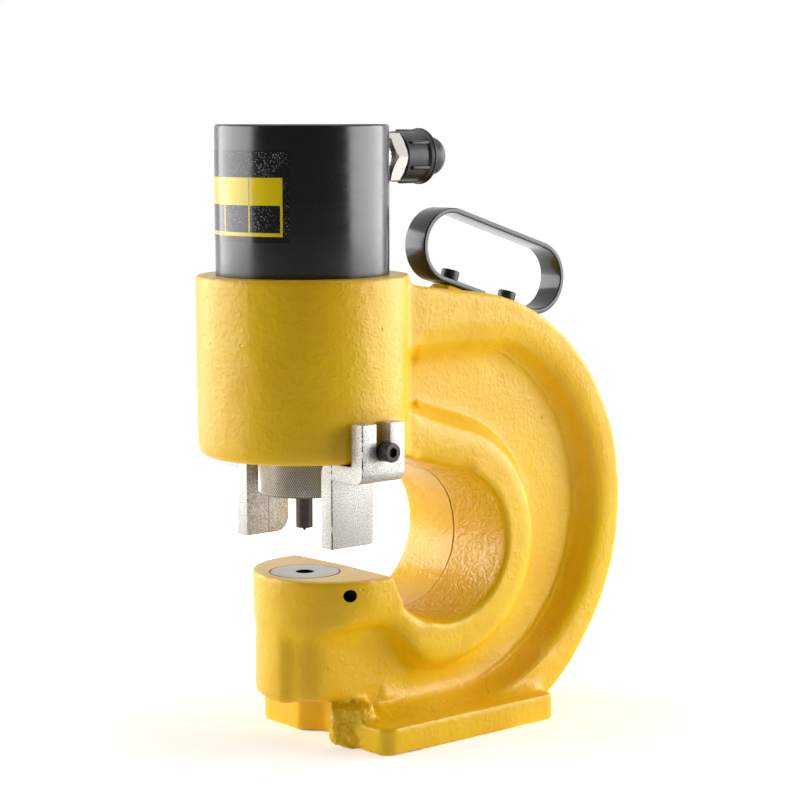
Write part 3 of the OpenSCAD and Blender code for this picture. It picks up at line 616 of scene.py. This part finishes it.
wall.thickness = film_t * mm
wall.offset = -1
mesh = shaded(released(holder), 40)

# Printed polyester film: glossy, flat black and yellow inks, with dust and scuffs speckling the black.
film, shader = finish("printed film", "101012", 0.18, IOR=1.5)
spot = object_spot(shader)
on_film = xyz(add("ShaderNodeUVMap", tree=shader.id_data, uv_map="film").outputs[0])


def within(value, low, high):
    """1 where the value lies between low and high, or else 0"""
    return product(maths("GREATER_THAN", value, low), maths("LESS_THAN", value, high))


def any_within(value, spans):
    """1 where the value lies in one of the spans, or else 0"""
    total = 0.0
    for low, high in spans:
        total = maths("MAXIMUM", within(value, low, high), total)
    return total


# The table's frame, column lines and header, in millimetres from the film's lower corner
in_grid = product(within(on_film["X"], 3.6, 67.8), within(on_film["Y"], 3.2, 33.9))
lines = any_within(on_film["X"], ((3.6, 4.8), (28.6, 29.5), (48.0, 48.9), (66.5, 67.8)))
heads = within(on_film["Y"], 19.4, 33.9)
yellow = maths("MAXIMUM", lines, maths("MAXIMUM", within(on_film["Y"], 3.2, 5.2), heads))
cuts = any_within(on_film["X"], ((28.9, 29.25), (48.3, 48.65)))
yellow = maths("SUBTRACT", product(yellow, in_grid), product(cuts, heads))
glitter = add("ShaderNodeTexVoronoi", {"Vector": spot, "Scale": 1000}).outputs["Distance"]
glitter = product(ramp(glitter, 0.3, 0.2), ramp(noise(spot, 60, 3), 0.38, 0.6, 0, 0.8),
                  within(on_film["Y"], 3.2, 47.0))
ink = blend(yellow, blend(glitter, "121214", "c9c9c4"), "f0d400")
dressed(shader, ink)
raised(shader, (glitter, 0.2, 0.25))
shown("data_sticker_film", mesh, film, "press_body", "data_sticker")

# Seals, guides and spring inside the cylinder, all out of sight once it is screwed down.
# Bronze bush and plastic rings round the rod and piston, and a coiled steel spring under it.


def clouded(name, colour, rough, metal, scale, detail, first, last, depth=0.0, strength=0.0):
    """A new material whose colour drifts between two in fine clouds, which also bump it"""
    made, shader = finish(name, colour, rough, metal)
    cloud = noise(object_spot(shader), scale, detail)
    dressed(shader, blend(cloud, first, last))
    if strength:
        raised(shader, (cloud, depth, strength))
    return made


# Leaded bronze, turned: warm and softly bright, with fine rings.
bronze, shader = finish("turned bronze", "b08948", 0.3, 1.0)
raised(shader, (drawn_out(object_spot(shader), (0.05, 0.05, 1), 2500, 2), 0.2, 0.3))
bush_low, bush_high = head_bottom + wiper_tall, head_bottom + floor_tall
mesh = turned("guide_bush", [(rod_r + clear, bush_low, 0.4), (bush_r, bush_low, 0.3), (bush_r, bush_high, 0.3),
                             (rod_r + clear, bush_high, 0.4)], place=on_punch_axis)
shown("guide_bush_turned", mesh, bronze, "press_body", "guide_bush")

# Moulded polyurethane: plain blue and half dull.
rubber = clouded("blue seal plastic", "2f4468", 0.5, 0.0, 500, 3, "26395a", "3a5078", 0.2, 0.2)
mesh = turned("rod_wiper", [
    (rod_r + clear, head_bottom, 0), (20.4, head_bottom + 1.2, 0), (bush_r, head_bottom + 0.1, 0.3),
    (wiper_r, head_bottom, 0.3), (wiper_r, bush_low, 0.2), (19.6, bush_low, 0.2)], place=on_punch_axis)
shown("rod_wiper_lip", mesh, rubber, "press_body", "rod_wiper")

# Nitrile, polyurethane, resin-bonded cloth and oiled spring wire: each plain, half dull, slightly clouded.
inner_looks = {
    "barrel_seal_ring": ("nitrile rubber", "26262a", "17171a", 0.55, 0.0),
    "piston_seal": ("amber polyurethane", "c8a850", "a88838", 0.4, 0.0),
    "piston_guide_ring": ("fabric resin", "7a4a2a", "5c3720", 0.6, 0.0),
    "return_spring": ("oiled spring steel", "8d9095", "5f6266", 0.35, 1.0)}
inner = {}
for node, (name, pale, dark, dull, metal) in inner_looks.items():
    inner[node] = clouded(name, pale, dull, metal, 380, 4, pale, dark, 0.2, 0.2)
    if node != "return_spring":
        nodes[node].data.materials.clear()
        nodes[node].data.materials.append(inner[node])


def skinned(name, rings):
    """A closed mesh over rings of points in millimetres, each joined to the next, with both ends shut"""
    work = bmesh.new()
    rings = [[work.verts.new(point * mm) for point in ring] for ring in rings]
    for a, b in zip(rings, rings[1:]):
        for k in range(len(a)):
            n = (k + 1) % len(a)
            work.faces.new((a[k], a[n], b[n], b[k]))
    work.faces.new(rings[0])
    work.faces.new(rings[-1][::-1])
    bmesh.ops.recalc_face_normals(work, faces=work.faces)
    return saved(work, name)


wire_r, coil_r, coil_turns, turn_steps, wire_sides = 3.0, 30.0, 7, 48, 12
spring_low, spring_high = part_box("return_spring")
tall = spring_high.z - spring_low.z
rings = []
for k in range(coil_turns * turn_steps + 1):
    turn = 2 * math.pi * k / turn_steps
    out = Vector((math.cos(turn), math.sin(turn), 0))
    rise = spring_low.z / mm + wire_r + (tall / mm - 2 * wire_r) * k / coil_turns / turn_steps
    here = Vector((punch_axis, 0, rise)) + coil_r * out
    sides = [2 * math.pi * j / wire_sides for j in range(wire_sides)]
    rings.append([here + wire_r * (math.cos(side) * out + Vector((0, 0, math.sin(side)))) for side in sides])
mesh = shaded(skinned("return_spring_coil", rings), 45)
spring = shown("return_spring_coil", mesh, inner["return_spring"], "press_body", "return_spring")
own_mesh(spring)

# Ram: the piston and its rod, which push the punch down and are pushed back by the spring.
# One piece of steel, turned with two ring grooves, its rod ground bright and hardened.
piston_r, groove_r = 39.95, 36.95
piston_top = barrel_top - 30.9
piston_low = piston_top - 30
nut_tall, nut_floor, punch_head = 21.5, 4.4, 5.8
nut_low = head_bottom - nut_gap - nut_tall
rod_end = nut_low + nut_floor + punch_head + 0.1
seal_at = piston_top - 7.5
guide_at = piston_low + 7.5
mesh = turned("ram", [
    (0, rod_end, 0), (rod_r, rod_end, 0.8), (rod_r, piston_low, 1.0), (piston_r, piston_low, 0.6),
    (piston_r, guide_at - 4.5, 0), (groove_r, guide_at - 4.5, 0), (groove_r, guide_at + 4.5, 0),
    (piston_r, guide_at + 4.5, 0), (piston_r, seal_at - 3, 0), (groove_r, seal_at - 3, 0),
    (groove_r, seal_at + 3, 0), (piston_r, seal_at + 3, 0), (piston_r, piston_top, 0.8),
    (0, piston_top, 0)], place=on_punch_axis)
# Hard chromed steel, ground: pale and mirror-like, with fine rings round it.
ground, shader = finish("ground steel", "b4b7ba", 0.2, 1.0)
lines = drawn_out(object_spot(shader), (0.05, 0.05, 1), 3000, 2)
dressed(shader, dull=ramp(lines, 0, 1, 0.14, 0.3))
raised(shader, (lines, 0.1, 0.15))
shown("ram_turned", mesh, ground, "ram_group", "ram")

# Punch: the round cutting punch whose head the nut clamps under the ram.
# Tool steel, turned with a centring pip on its end, hardened and left dark.
punch_r, punch_head_r = 4.6, 8.5
shoulder = nut_low - 19.5
punch_top = rod_end - clear
mesh = turned("punch", [
    (0, shoulder - 2.2, 0), (1.84, shoulder, 0), (punch_r, shoulder, 0.15), (punch_r, punch_top - punch_head, 0.6),
    (punch_head_r, punch_top - punch_head, 0.3), (punch_head_r, punch_top, 0.3), (0, punch_top, 0)],
    96, on_punch_axis)
# Tool steel hardened in oil: dark grey with a brown cast, satin, faint turning lines.
tool_steel, shader = finish("hardened tool steel", "4a4a4c", 0.36, 0.85)
spot = object_spot(shader)
dressed(shader, blend(noise(spot, 260, 5), "35322d", "57534c"))
raised(shader, (drawn_out(spot, (0.05, 0.05, 1), 4000, 2), 0.1, 0.25))
shown("punch_turned", mesh, tool_steel, "ram_group", "punch")

# Punch nut: the knurled ring nut that holds the punch, screwed onto the ram's rod by hand.
# Steel, turned hollow, rolled with a diamond knurl of shallow four-sided points, and plated.
nut_r = 25.0
nut_high = nut_low + nut_tall
nut_hole_r, punch_seat_r = 4.9, 8.8
point_h, top_share = 0.31, 0.34
points_round, point_rows = 120, 19
knurl_margin = 0.35
row_step = (nut_tall - 2 * knurl_margin) / (point_rows + 1)

repeat = bpy.data.node_groups.new("Repeat round or along", "GeometryNodeTree")
sockets = {"Geometry": repeat.interface.new_socket("Geometry", in_out="INPUT", socket_type="NodeSocketGeometry")}
for label, kind in (("Count", "NodeSocketInt"), ("Turn", "NodeSocketFloat"), ("Step", "NodeSocketVector"),
                    ("Finish", "NodeSocketMaterial")):
    sockets[label] = repeat.interface.new_socket(label, in_out="INPUT", socket_type=kind)
repeat.interface.new_socket("Geometry", in_out="OUTPUT", socket_type="NodeSocketGeometry")
given = add("NodeGroupInput", tree=repeat).outputs
number = add("GeometryNodeInputIndex", tree=repeat).outputs[0]
place = add("ShaderNodeVectorMath", {0: given["Step"], "Scale": number}, operation="SCALE").outputs[0]
angle = add("ShaderNodeCombineXYZ", {"Z": product(given["Turn"], number)}).outputs[0]
angle = add("FunctionNodeEulerToRotation", {0: angle}).outputs[0]
places = add("GeometryNodePoints", {"Count": given["Count"], "Position": place}).outputs[0]
copies = add("GeometryNodeInstanceOnPoints", {
    "Points": places, "Instance": given["Geometry"], "Rotation": angle}).outputs[0]
copies = add("GeometryNodeRealizeInstances", {"Geometry": copies}).outputs[0]
copies = add("GeometryNodeSetMaterial", {"Geometry": copies, "Material": given["Finish"]}).outputs[0]
add("NodeGroupOutput", {"Geometry": copies})


def repeated(mesh, material, count, turn=0.0, step=(0, 0, 0)):
    """The mesh set count times round Z by turn degrees, or along by a step in millimetres, as one mesh"""
    holder = placed("holder", mesh)
    copier = holder.modifiers.new("copies", "NODES")
    copier.node_group = repeat
    copier[sockets["Count"].identifier] = count
    copier[sockets["Turn"].identifier] = math.radians(turn)
    copier[sockets["Step"].identifier] = [v * mm for v in step]
    copier[sockets["Finish"].identifier] = material
    return released(holder)


def joined(name, meshes, place):
    """One mesh of several, put in its place by the matrix"""
    work = bmesh.new()
    for part in meshes:
        work.from_mesh(part)
    mesh = saved(work, name)
    mesh.transform(place)
    return mesh


# Nickel-plated steel, knurled: bright on the points and greyer in the grooves between them.
plated, shader = finish("plated steel", "c3c3c1", 0.28, 1.0)
spot = object_spot(shader)
cloud = noise(spot, 300, 4)
out = reach_from(spot, (punch_axis, 0, 0), (1, 1, 0))
groove_band = product(ramp(out, 0.0239, 0.0240), maths("SUBTRACT", 1.0, ramp(out, 0.02472, 0.0249)))
# Greyer at the radius of the knurl's grooves, lighter on the points
tone = blend(maths("SUBTRACT", 1.0, groove_band), "7d7971", blend(cloud, "c4c1ba", "efece5"))
dressed(shader, tone, ramp(cloud, 0, 1, 0.2, 0.42))
groove_floor = nut_r - point_h
core = turned("nut_core", [
    (nut_hole_r, nut_low, 0.3), (groove_floor, nut_low, 0.5), (groove_floor, nut_high, 0.5),
    (rod_r + clear, nut_high, 0.4), (rod_r + clear, rod_end - 0.3, 0), (punch_seat_r, rod_end - 0.3, 0),
    (punch_seat_r, nut_low + nut_floor, 0), (nut_hole_r, nut_low + nut_floor, 0)], 196)
half_w = math.pi * nut_r / points_round
vertices = []
for r, share in ((groove_floor - 0.05, 1.0), (nut_r, top_share)):
    w, h = half_w * share, row_step * share
    vertices += [(r, w, 0), (r, 0, h), (r, -w, 0), (r, 0, -h)]
faces = [(0, 1, 5, 4), (1, 2, 6, 5), (2, 3, 7, 6), (3, 0, 4, 7), (4, 5, 6, 7)]
knurl = bpy.data.meshes.new("knurl_point")
knurl.from_pydata([Vector(v) * mm for v in vertices], [], faces)
knurl = repeated(knurl, plated, points_round, 360 / points_round)
knurl.transform(Matrix.Translation((0, 0, (nut_low + knurl_margin + row_step) * mm)))
knurl = repeated(knurl, plated, point_rows, 180 / points_round, (0, 0, row_step))
mesh = joined("punch_nut", [core, knurl], on_punch_axis)
shown("punch_nut_knurled", mesh, plated, "nut_group", "punch_nut")

# Die: the round cutting ring under the punch, set flush in the anvil.
# Tool steel, its hole relieved below the cutting edge, hardened and ground dark and smooth.
cutting_r, relief_r, land = 5, 7, 7
die_foot = anvil_top - die_tall
mesh = turned("die", [
    (cutting_r, anvil_top, 0.25), (die_r - 0.6, anvil_top, 0.2), (die_r, anvil_top - 0.7, 0.2),
    (die_r, die_foot, 0.6), (relief_r, die_foot, 0.3), (relief_r, anvil_top - land, 0),
    (cutting_r, anvil_top - land, 0)], 160, on_punch_axis)
# Tool steel, face ground: even pale grey satin; its thin dark chamfer and black hole are painted shade.
die_steel, shader = finish("ground die steel", "5b5c5e", 0.3, 1.0)
spot = object_spot(shader)
out = reach_from(spot, (punch_axis, 0, 0), (1, 1, 0))
cloud = noise(spot, 180, 4)
# Black inside the cutting hole: painted shade of the hole
tone = blend(ramp(out, 0.0052, 0.005), blend(cloud, "989691", "c4c1ba"), "1b1915")
# Dark ring at the outer chamfer: painted shade of the chamfer and the gap round the die
tone = blend(ramp(out, 0.01885, 0.01895), tone, "3a3834")
dressed(shader, tone, ramp(cloud, 0, 1, 0.24, 0.4))
rings = add("ShaderNodeTexNoise", {"W": out, "Scale": 3000, "Detail": 3}, noise_dimensions="1D")
raised(shader, (rings.outputs["Fac"], 0.1, 0.2))
shown("die_ring", mesh, die_steel, "press_body", "die")

# Socket screws: two with spring washers hold the strippers, two hold the handle and one,
# without a head, clamps the die. Alloy steel, headed cold, threads rolled, blacked with oxide.
thread_len = 12
screw_head_r, screw_head_h = 5.2, 6.0
bracket_t = 9.5
bracket_face = head_r + bracket_t
washer_low, washer_high = 0.3, 1.9
# Black oxide on alloy steel: soft black with a slight metal sheen.
oxide = clouded("black oxide steel", "2b2b2d", 0.38, 0.6, 600, 4, "232325", "4b4947", 0.2, 0.25)


def socket_screw(shank):
    """A socket head screw with its head from Z = 0 up and its shank below"""
    mesh = turned("socket_screw", [
        (0, screw_head_h, 0), (screw_head_r, screw_head_h, 0.6), (screw_head_r, 0, 0.2), (screw_r, 0, 0),
        (screw_r, -shank, 0.5), (0, -shank, 0)], 64)
    return combined(mesh, [bar(5 / math.sqrt(3), (0, 0, screw_head_h - 3), (0, 0, screw_head_h + 2), 6)])


def sideways(out, height):
    """Lays a piece that was made along Z with its Z to the near side, this far out and high"""
    return Matrix.Translation((0, -out * mm, height * mm)) @ Matrix.Rotation(math.radians(90), 4, "X")


def on_both_sides(mesh):
    """The mesh on the near side and once more on the far side of the punch axis"""
    mesh = repeated(mesh, oxide, 2, 180)
    mesh.transform(on_punch_axis)
    return mesh


mesh = socket_screw(bracket_t + washer_high + thread_len - 1)
mesh.transform(sideways(bracket_face, bracket_screw_z) @ Matrix.Translation((0, 0, washer_high * mm)))
shown("stripper_screw_pair", on_both_sides(mesh), oxide, "press_body", "stripper_screws")

mesh = turned("spring_washer", [
    (screw_r + clear, washer_low, 0.15), (screw_head_r, washer_low, 0.25), (screw_head_r, washer_high, 0.25),
    (screw_r + clear, washer_high, 0.15)], 60, sideways(bracket_face, bracket_screw_z), 350, 3)
shown("stripper_washer_pair", on_both_sides(mesh), oxide, "press_body", "stripper_washers")

strap_t, strap_w = 3.0, 17.0
along_handle = Matrix.Rotation(handle_slope, 4, "Y")
mesh = repeated(socket_screw(strap_t + thread_len - 1), oxide, 2, 0, (screw_runs[1] - screw_runs[0], 0, 0))
mesh.transform(Matrix.Translation((seats[0] + strap_t * normal) * mm) @ along_handle)
shown("handle_screw_pair", mesh, oxide, "press_body", "handle_screws")

set_screw_len = 15
mesh = turned("die_set_screw", [
    (0, set_screw_len, 0), (set_screw_r, set_screw_len, 0.4), (set_screw_r, 0, 0.8), (0, 0, 0)], 48)
mesh = combined(mesh, [bar(2.04, (0, 0, set_screw_len - 3), (0, 0, set_screw_len + 2), 6)])
mesh.transform(on_punch_axis @ sideways(die_r + 0.1, set_screw_z))
shown("die_set_screw_turned", mesh, oxide, "press_body", "die_set_screw")

# Strippers: the two bent brackets beside the punch that pull the work off it.
# Thick steel bar, sawn, slotted, bent in two places and zinc plated over the rough skin.


def softened(node, width):
    """A CAD node's mesh with its flat faces made whole and its sharp edges taken off"""
    work = welded(node)
    bmesh.ops.dissolve_limit(work, angle_limit=math.radians(1), verts=work.verts, edges=work.edges)
    holder = placed("holder", saved(work, node + "_whole"))
    edge = holder.modifiers.new("edge", "BEVEL")
    edge.width = width * mm
    edge.segments = 2
    edge.limit_method = "ANGLE"
    edge.angle_limit = math.radians(40)
    return shaded(released(holder), 28)


# Zinc plate over sawn bar: bright grey, finely speckled, with stains and dark nicks on its edges.
zinc, shader = finish("rough zinc plate", "c9c9c8", 0.42, 0.65)
spot = object_spot(shader)
mottle = noise(spot, 1500, 3, 0.6)
stain = ramp(noise(spot, 90, 3), 0.5, 0.75, 0, 0.35)
tone = blend(ramp(mottle, 0.36, 0.62), "96948e", "e6e4e0")
tone = blend(stain, tone, "b9ab95")
parts = xyz(spot)
broken = ramp(noise(spot, 420, 2), 0.44, 0.5)
edge_x = off_from(parts["X"], (punch_axis - 14.35) * mm)
for face_y in (42, bracket_face):
    edge_y = off_from(maths("ABSOLUTE", parts["Y"]), face_y * mm)
    line = ramp(maths("MAXIMUM", edge_x, edge_y), 0.00045, 0.0003)
    tone = blend(product(line, broken), tone, "24221e")
# A thin dark upright line on the far leg
upright_line = ramp(off_from(parts["X"], (punch_axis + 0.6) * mm), 0.0004, 0.0002)
far_leg = ramp(off_from(parts["Y"], 33 * mm), 0.0006, 0.0004)
tone = blend(product(upright_line, far_leg, 0.7), tone, "4a453c")
dressed(shader, tone, ramp(mottle, 0, 1, 0.3, 0.6))
raised(shader, (mottle, 0.4, 0.55))
for node, body in (("stripper_left", "left_bracket"), ("stripper_right", "right_bracket")):
    shown(node + "_plated", softened(node, 0.35), zinc, body, node)

# Handle: the carrying loop on top of the arm.
# Flat steel strap, bent into an open loop, painted gloss black and screwed to the casting.
loop_len, front_foot, rear_foot = 70.8, 32.9, 19.7
mid_r = handle_r - strap_t / 2
bend_steps, strap_edge = 48, 0.7


def bend(run, first):
    """Half a turn of the strap, from this angle in degrees round a centre this far along the handle"""
    turns = [math.radians(first - 180 * k / bend_steps) for k in range(bend_steps + 1)]
    return [Vector((run + mid_r * math.cos(turn), 0, mid_r * math.sin(turn))) for turn in turns]


path = [Vector((front_foot, 0, -mid_r)), Vector((front_foot / 2, 0, -mid_r))] + bend(0, -90)
path += [Vector((loop_len * k / 8, 0, mid_r)) for k in range(1, 8)] + bend(loop_len, 90)
path.append(Vector((loop_len - rear_foot, 0, -mid_r)))
section = eased([(-strap_w / 2, -strap_t / 2, strap_edge), (strap_w / 2, -strap_t / 2, strap_edge),
                 (strap_w / 2, strap_t / 2, strap_edge), (-strap_w / 2, strap_t / 2, strap_edge)], 4)
rings = []
for k, here in enumerate(path):
    ahead = (path[min(k + 1, len(path) - 1)] - path[max(k - 1, 0)]).normalized()
    outward = ahead.cross(Vector((0, 1, 0)))
    rings.append([here + Vector((0, p.x, 0)) + outward * p.y for p in section])
mesh = skinned("strap", rings)
mesh.transform(Matrix.Translation(handle_front * mm) @ along_handle)
mesh = combined(mesh, [bar(screw_r + clear, seat - 2 * normal, seat + 5 * normal, 32) for seat in seats])
# Baked gloss paint on bent strap: black, with slight orange peel and bright edge lines.
strap_black, shader = finish("gloss black paint", "1b1b1d", 0.14, IOR=1.55)
spot = object_spot(shader)
ripples = noise(spot, 120, 3)
dressed(shader, dusty(spot, 900, 0.3, "1b1b1d", "77777a"), ramp(ripples, 0, 1, 0.1, 0.26))
raised(shader, (ripples, 0.4, 0.2))
shown("handle_strap_bent", mesh, strap_black, "press_body", "handle_strap")

# Hose coupler: the plug half of a quick coupler, screwed into the barrel's oil port
# on a bonded washer. Steel, turned from hexagon bar with a ball groove, nickel plated.
washer_t = 2
collar_x = port_face + washer_t
hex_x, hex_len, hex_flats = collar_x + 7.6, 8.5, 26
nipple_x = hex_x + hex_len
nipple_end = nipple_x + 21
nipple_r, mouth_t = 10, 1.7
valve_room_r = 4.45
valve_x = nipple_end - mouth_t - 0.3 - 8 - 3 - 0.3
groove = nipple_end - 10.5
along_coupler = Matrix.Translation((punch_axis * mm, 0, port_z * mm)) @ Matrix.Rotation(math.radians(90), 4, "Y")
stem = turned("coupler_stem", [
    (oil_way_r, port_face - port_deep + 0.3, 0), (port_r, port_face - port_deep + 0.3, 0.8), (port_r, collar_x, 0),
    (11, collar_x, 0.3), (11, hex_x + 1, 0), (nipple_r, hex_x + 1, 0),
    (nipple_r, groove - 2, 0), (9, groove - 1.6, 0.3), (9, groove + 1.6, 0.3), (nipple_r, groove + 2, 0),
    (nipple_r, nipple_end, 0.9), (oil_way_r, nipple_end, 0.4), (oil_way_r, nipple_end - mouth_t, 0),
    (valve_room_r, nipple_end - mouth_t, 0), (valve_room_r, valve_x, 0), (oil_way_r, valve_x, 0)], 96)
hexagon = turned("hexagon", [
    (9.5, hex_x, 0), (13.1, hex_x, 0), (15.2, hex_x + 1.25, 0), (15.2, nipple_x - 1.25, 0),
    (13.1, nipple_x, 0), (9.5, nipple_x, 0)], 96)
flats = bar(hex_flats / math.sqrt(3), (0, 0, hex_x - 1), (0, 0, nipple_x + 1.5), 6)
hexagon = combined(hexagon, [flats], "INTERSECT")
mesh = combined(stem, [placed("blank", hexagon)], "UNION", 25)
mesh.transform(along_coupler)
# Bright nickel on turned bar: nearly a mirror, faintly streaked along its length.
nickel, shader = finish("bright nickel", "dcd9d2", 0.14, 1.0)
streaks = drawn_out(object_spot(shader), (0.2, 1, 1), 700, 3)
dressed(shader, dull=ramp(streaks, 0, 1, 0.08, 0.24))
raised(shader, (streaks, 0.1, 0.12))
shown("coupler_plug", mesh, nickel, "press_body", "coupler_body")

pin_r, poppet_r = 2.2, 4.4
mesh = turned("coupler_poppet", [
    (0, nipple_end, 0), (pin_r, nipple_end, 0.3), (pin_r, nipple_end - 1.9, 0), (poppet_r, nipple_end - 2, 0.5),
    (poppet_r, nipple_end - 10, 0.3), (0, nipple_end - 10, 0)], 64, along_coupler)
shown("coupler_valve", mesh, ground, "valve_group", "coupler_poppet")

# Zinc-passivated washer steel: dull gold edge.
gold_zinc = clouded("bonded washer", "a8975a", 0.35, 1.0, 500, 4, "8f7f48", "bcab6c")
washer_r = 11.5
mesh = turned("coupler_seal_washer", [
    (port_r + clear, port_face, 0.2), (washer_r, port_face, 0.3), (washer_r, collar_x, 0.3),
    (port_r + clear, collar_x, 0.2)], 96, along_coupler)
shown("coupler_washer_turned", mesh, gold_zinc, "press_body", "coupler_seal_washer")

# Dust cap: the push-on cap that keeps dirt out of the coupler.
# Black rubbery plastic, moulded with six finger ribs, a flange and a round pull knob.
cap_x = nipple_x + 0.5
flange_x = cap_x + 13.6
tip_x = flange_x + 5.5
knob_x, knob_r = tip_x + 13.9, 10.9
cap_bore_r, cap_r = nipple_r + 0.3, 14.0
rib_count, rib_r, rib_out, rib_turn = 6, 1.5, 13.6, -4
rib_start, rib_end = cap_x + 4.2, flange_x + 1.8
# Soft moulded polyethylene: dark grey-black with a low, even sheen and a fine grain.
cap_skin = clouded("moulded black plastic", "141415", 0.4, 0.0, 1100, 3, "0f0f10", "1f1f21", 0.15, 0.2)
shell = turned("cap_shell", [
    (cap_bore_r, cap_x, 0.4), (cap_r, cap_x, 0.5), (cap_r, flange_x + 0.6, 0.2), (15.0, flange_x + 2.4, 0.8),
    (15.2, flange_x + 4.4, 0.1), (15.7, flange_x + 4.8, 0.2), (15.7, flange_x + 6.0, 0.4),
    (14.4, flange_x + 6.3, 0.3), (9.8, tip_x + 0.9, 0.3), (9.8, tip_x + 2.3, 0.2), (10.5, tip_x + 2.8, 0.2),
    (10.5, tip_x + 3.5, 0.2), (9.9, tip_x + 3.8, 0.2), (9.9, tip_x + 4.3, 0.2), (knob_r, tip_x + 4.8, 0.3),
    (knob_r, knob_x, 6.5),
    (0, knob_x, 0), (0, nipple_end + 0.3, 0), (cap_bore_r, nipple_end + 0.3, 0.6)], 128, steps=8)
pockets = []
for k in range(rib_count):
    turn = math.radians(360 / rib_count * k + rib_turn)
    way = Vector((math.cos(turn), math.sin(turn), 0))
    start = Vector((0, 0, rib_start - 1.3))
    pockets.append(bar(1.05, start + 12.3 * way, start + 15.5 * way, 24))
shell = combined(shell, pockets)
work = bmesh.new()
bmesh.ops.create_uvsphere(work, u_segments=16, v_segments=10, radius=rib_r * mm,
                          matrix=Matrix.Translation((rib_out * mm, 0, rib_start * mm)))
for corner in work.verts:
    if corner.co.z > rib_start * mm + 1e-6:
        corner.co.z += (rib_end - rib_start) * mm
rib = saved(work, "rib")
rib.shade_smooth()
rib.transform(Matrix.Rotation(math.radians(rib_turn), 4, "Z"))
ribs = repeated(rib, cap_skin, rib_count, 360 / rib_count)
mesh = joined("dust_cap", [shell, ribs], along_coupler)
shown("dust_cap_moulded", mesh, cap_skin, "cap_group", "dust_cap")

# Studio: a pale floor, a white world, two tall soft lamps at the camera's left and right
# and a small one above, and a camera that stands where the photograph was taken from.
view_azimuth, view_down, view_roll = math.radians(-40.494), math.radians(6.919), math.radians(-0.103)
to_camera = (math.sin(view_azimuth), -math.cos(view_azimuth), 0)
floor_half = 9
floor = bpy.data.meshes.new("floor")
floor.from_pydata([(-floor_half, -floor_half, 0), (floor_half, -floor_half, 0),
                   (floor_half, floor_half, 0), (-floor_half, floor_half, 0)], [], [(0, 1, 2, 3)])


def highest(*values):
    """The highest of some values or outputs"""
    first, *others = values
    for other in others:
        first = maths("MAXIMUM", first, other)
    return first


# Matt white board: catches a faint shadow and glows white to the camera.
pale, shader = finish("pale floor", "f4f4f4", 0.8, **{"Specular IOR Level": 0.0})
spot = object_spot(shader)
away = vector("LENGTH", spot, output="Value")
ray = add("ShaderNodeLightPath", tree=shader.id_data).outputs
seen = highest(ray["Is Camera Ray"], ray["Is Glossy Ray"], ray["Is Transmission Ray"])
toward = vector("DOT_PRODUCT", vector("NORMALIZE", spot), to_camera, "Value")
dark_front = product(ramp(toward, 0.25, 0.45), maths("SUBTRACT", 1.0, ray["Is Camera Ray"]))
lit_below = product(maths("SUBTRACT", 1.0, seen), ramp(away, 0.3, 0.9, 0.65, 0.0),
                    ramp(dark_front, 0, 1, 1.0, 0.2))
glow = product(seen, ramp(dark_front, 0, 1, 1.0, 0.1), ramp(away, 0.15, 0.6, 0.45, 1.0))
shader.inputs["Emission Color"].default_value = (1, 1, 1, 1)
dressed(shader, glow=maths("ADD", glow, lit_below))
floor.materials.append(pale)
floor_piece = placed("floor", floor)

world = bpy.data.worlds.new("studio")
bpy.context.scene.world = world
world.use_nodes = True
back = world.node_tree.nodes["Background"]
back.inputs["Color"].default_value = (1, 1, 1, 1)
ray = add("ShaderNodeLightPath", tree=world.node_tree).outputs
way = add("ShaderNodeTexCoord", tree=world.node_tree).outputs["Generated"]
toward = vector("DOT_PRODUCT", way, to_camera, "Value")
mirrored = product(ray["Is Glossy Ray"], ramp(toward, 0.25, 0.45, 1.0, 0.15))
least_light = 0.02
strength = highest(ray["Is Camera Ray"], ray["Is Transmission Ray"], mirrored, least_light)
world.node_tree.links.new(strength, back.inputs["Strength"])

centre = Vector((0, 0, 0.17))
for name, side, height, distance, width, length, power in (
        ("left", -99, 0.5, 1.5, 2.1, 0.95, 27),
        ("right", 99, 0.5, 1.5, 2.1, 0.95, 31),
        ("top", 0, 1.7, -0.2, 1.2, 1.2, 6)):
    light = bpy.data.lights.new(name, "AREA")
    light.shape = "RECTANGLE"
    light.size, light.size_y, light.energy = width, length, power
    lamp = placed(name, light)
    turn = view_azimuth + math.radians(side)
    lamp.location = Vector((math.sin(turn) * distance, -math.cos(turn) * distance, height))
    lamp.rotation_euler = (centre - lamp.location).to_track_quat("-Z", "Y").to_euler()

camera_spot = (-0.83493, -0.97341, 0.34021)
ahead = Vector((-math.sin(view_azimuth) * math.cos(view_down), math.cos(view_azimuth) * math.cos(view_down),
                -math.sin(view_down)))
level = Vector((math.cos(view_azimuth), math.sin(view_azimuth), 0))
upward = level.cross(ahead)
right = math.cos(view_roll) * level + math.sin(view_roll) * upward
upward = math.cos(view_roll) * upward - math.sin(view_roll) * level
eye = bpy.data.cameras.new("photo")
eye.lens = 102.8
eye.sensor_width = 36
eye.clip_start = 0.05
eye.clip_end = 60
camera = placed("photo", eye)
rows = [(right[k], upward[k], -ahead[k], camera_spot[k]) for k in range(3)]
camera.matrix_world = Matrix(rows + [(0, 0, 0, 1)])
bpy.context.scene.camera = camera
bpy.context.scene.view_settings.view_transform = "Standard"
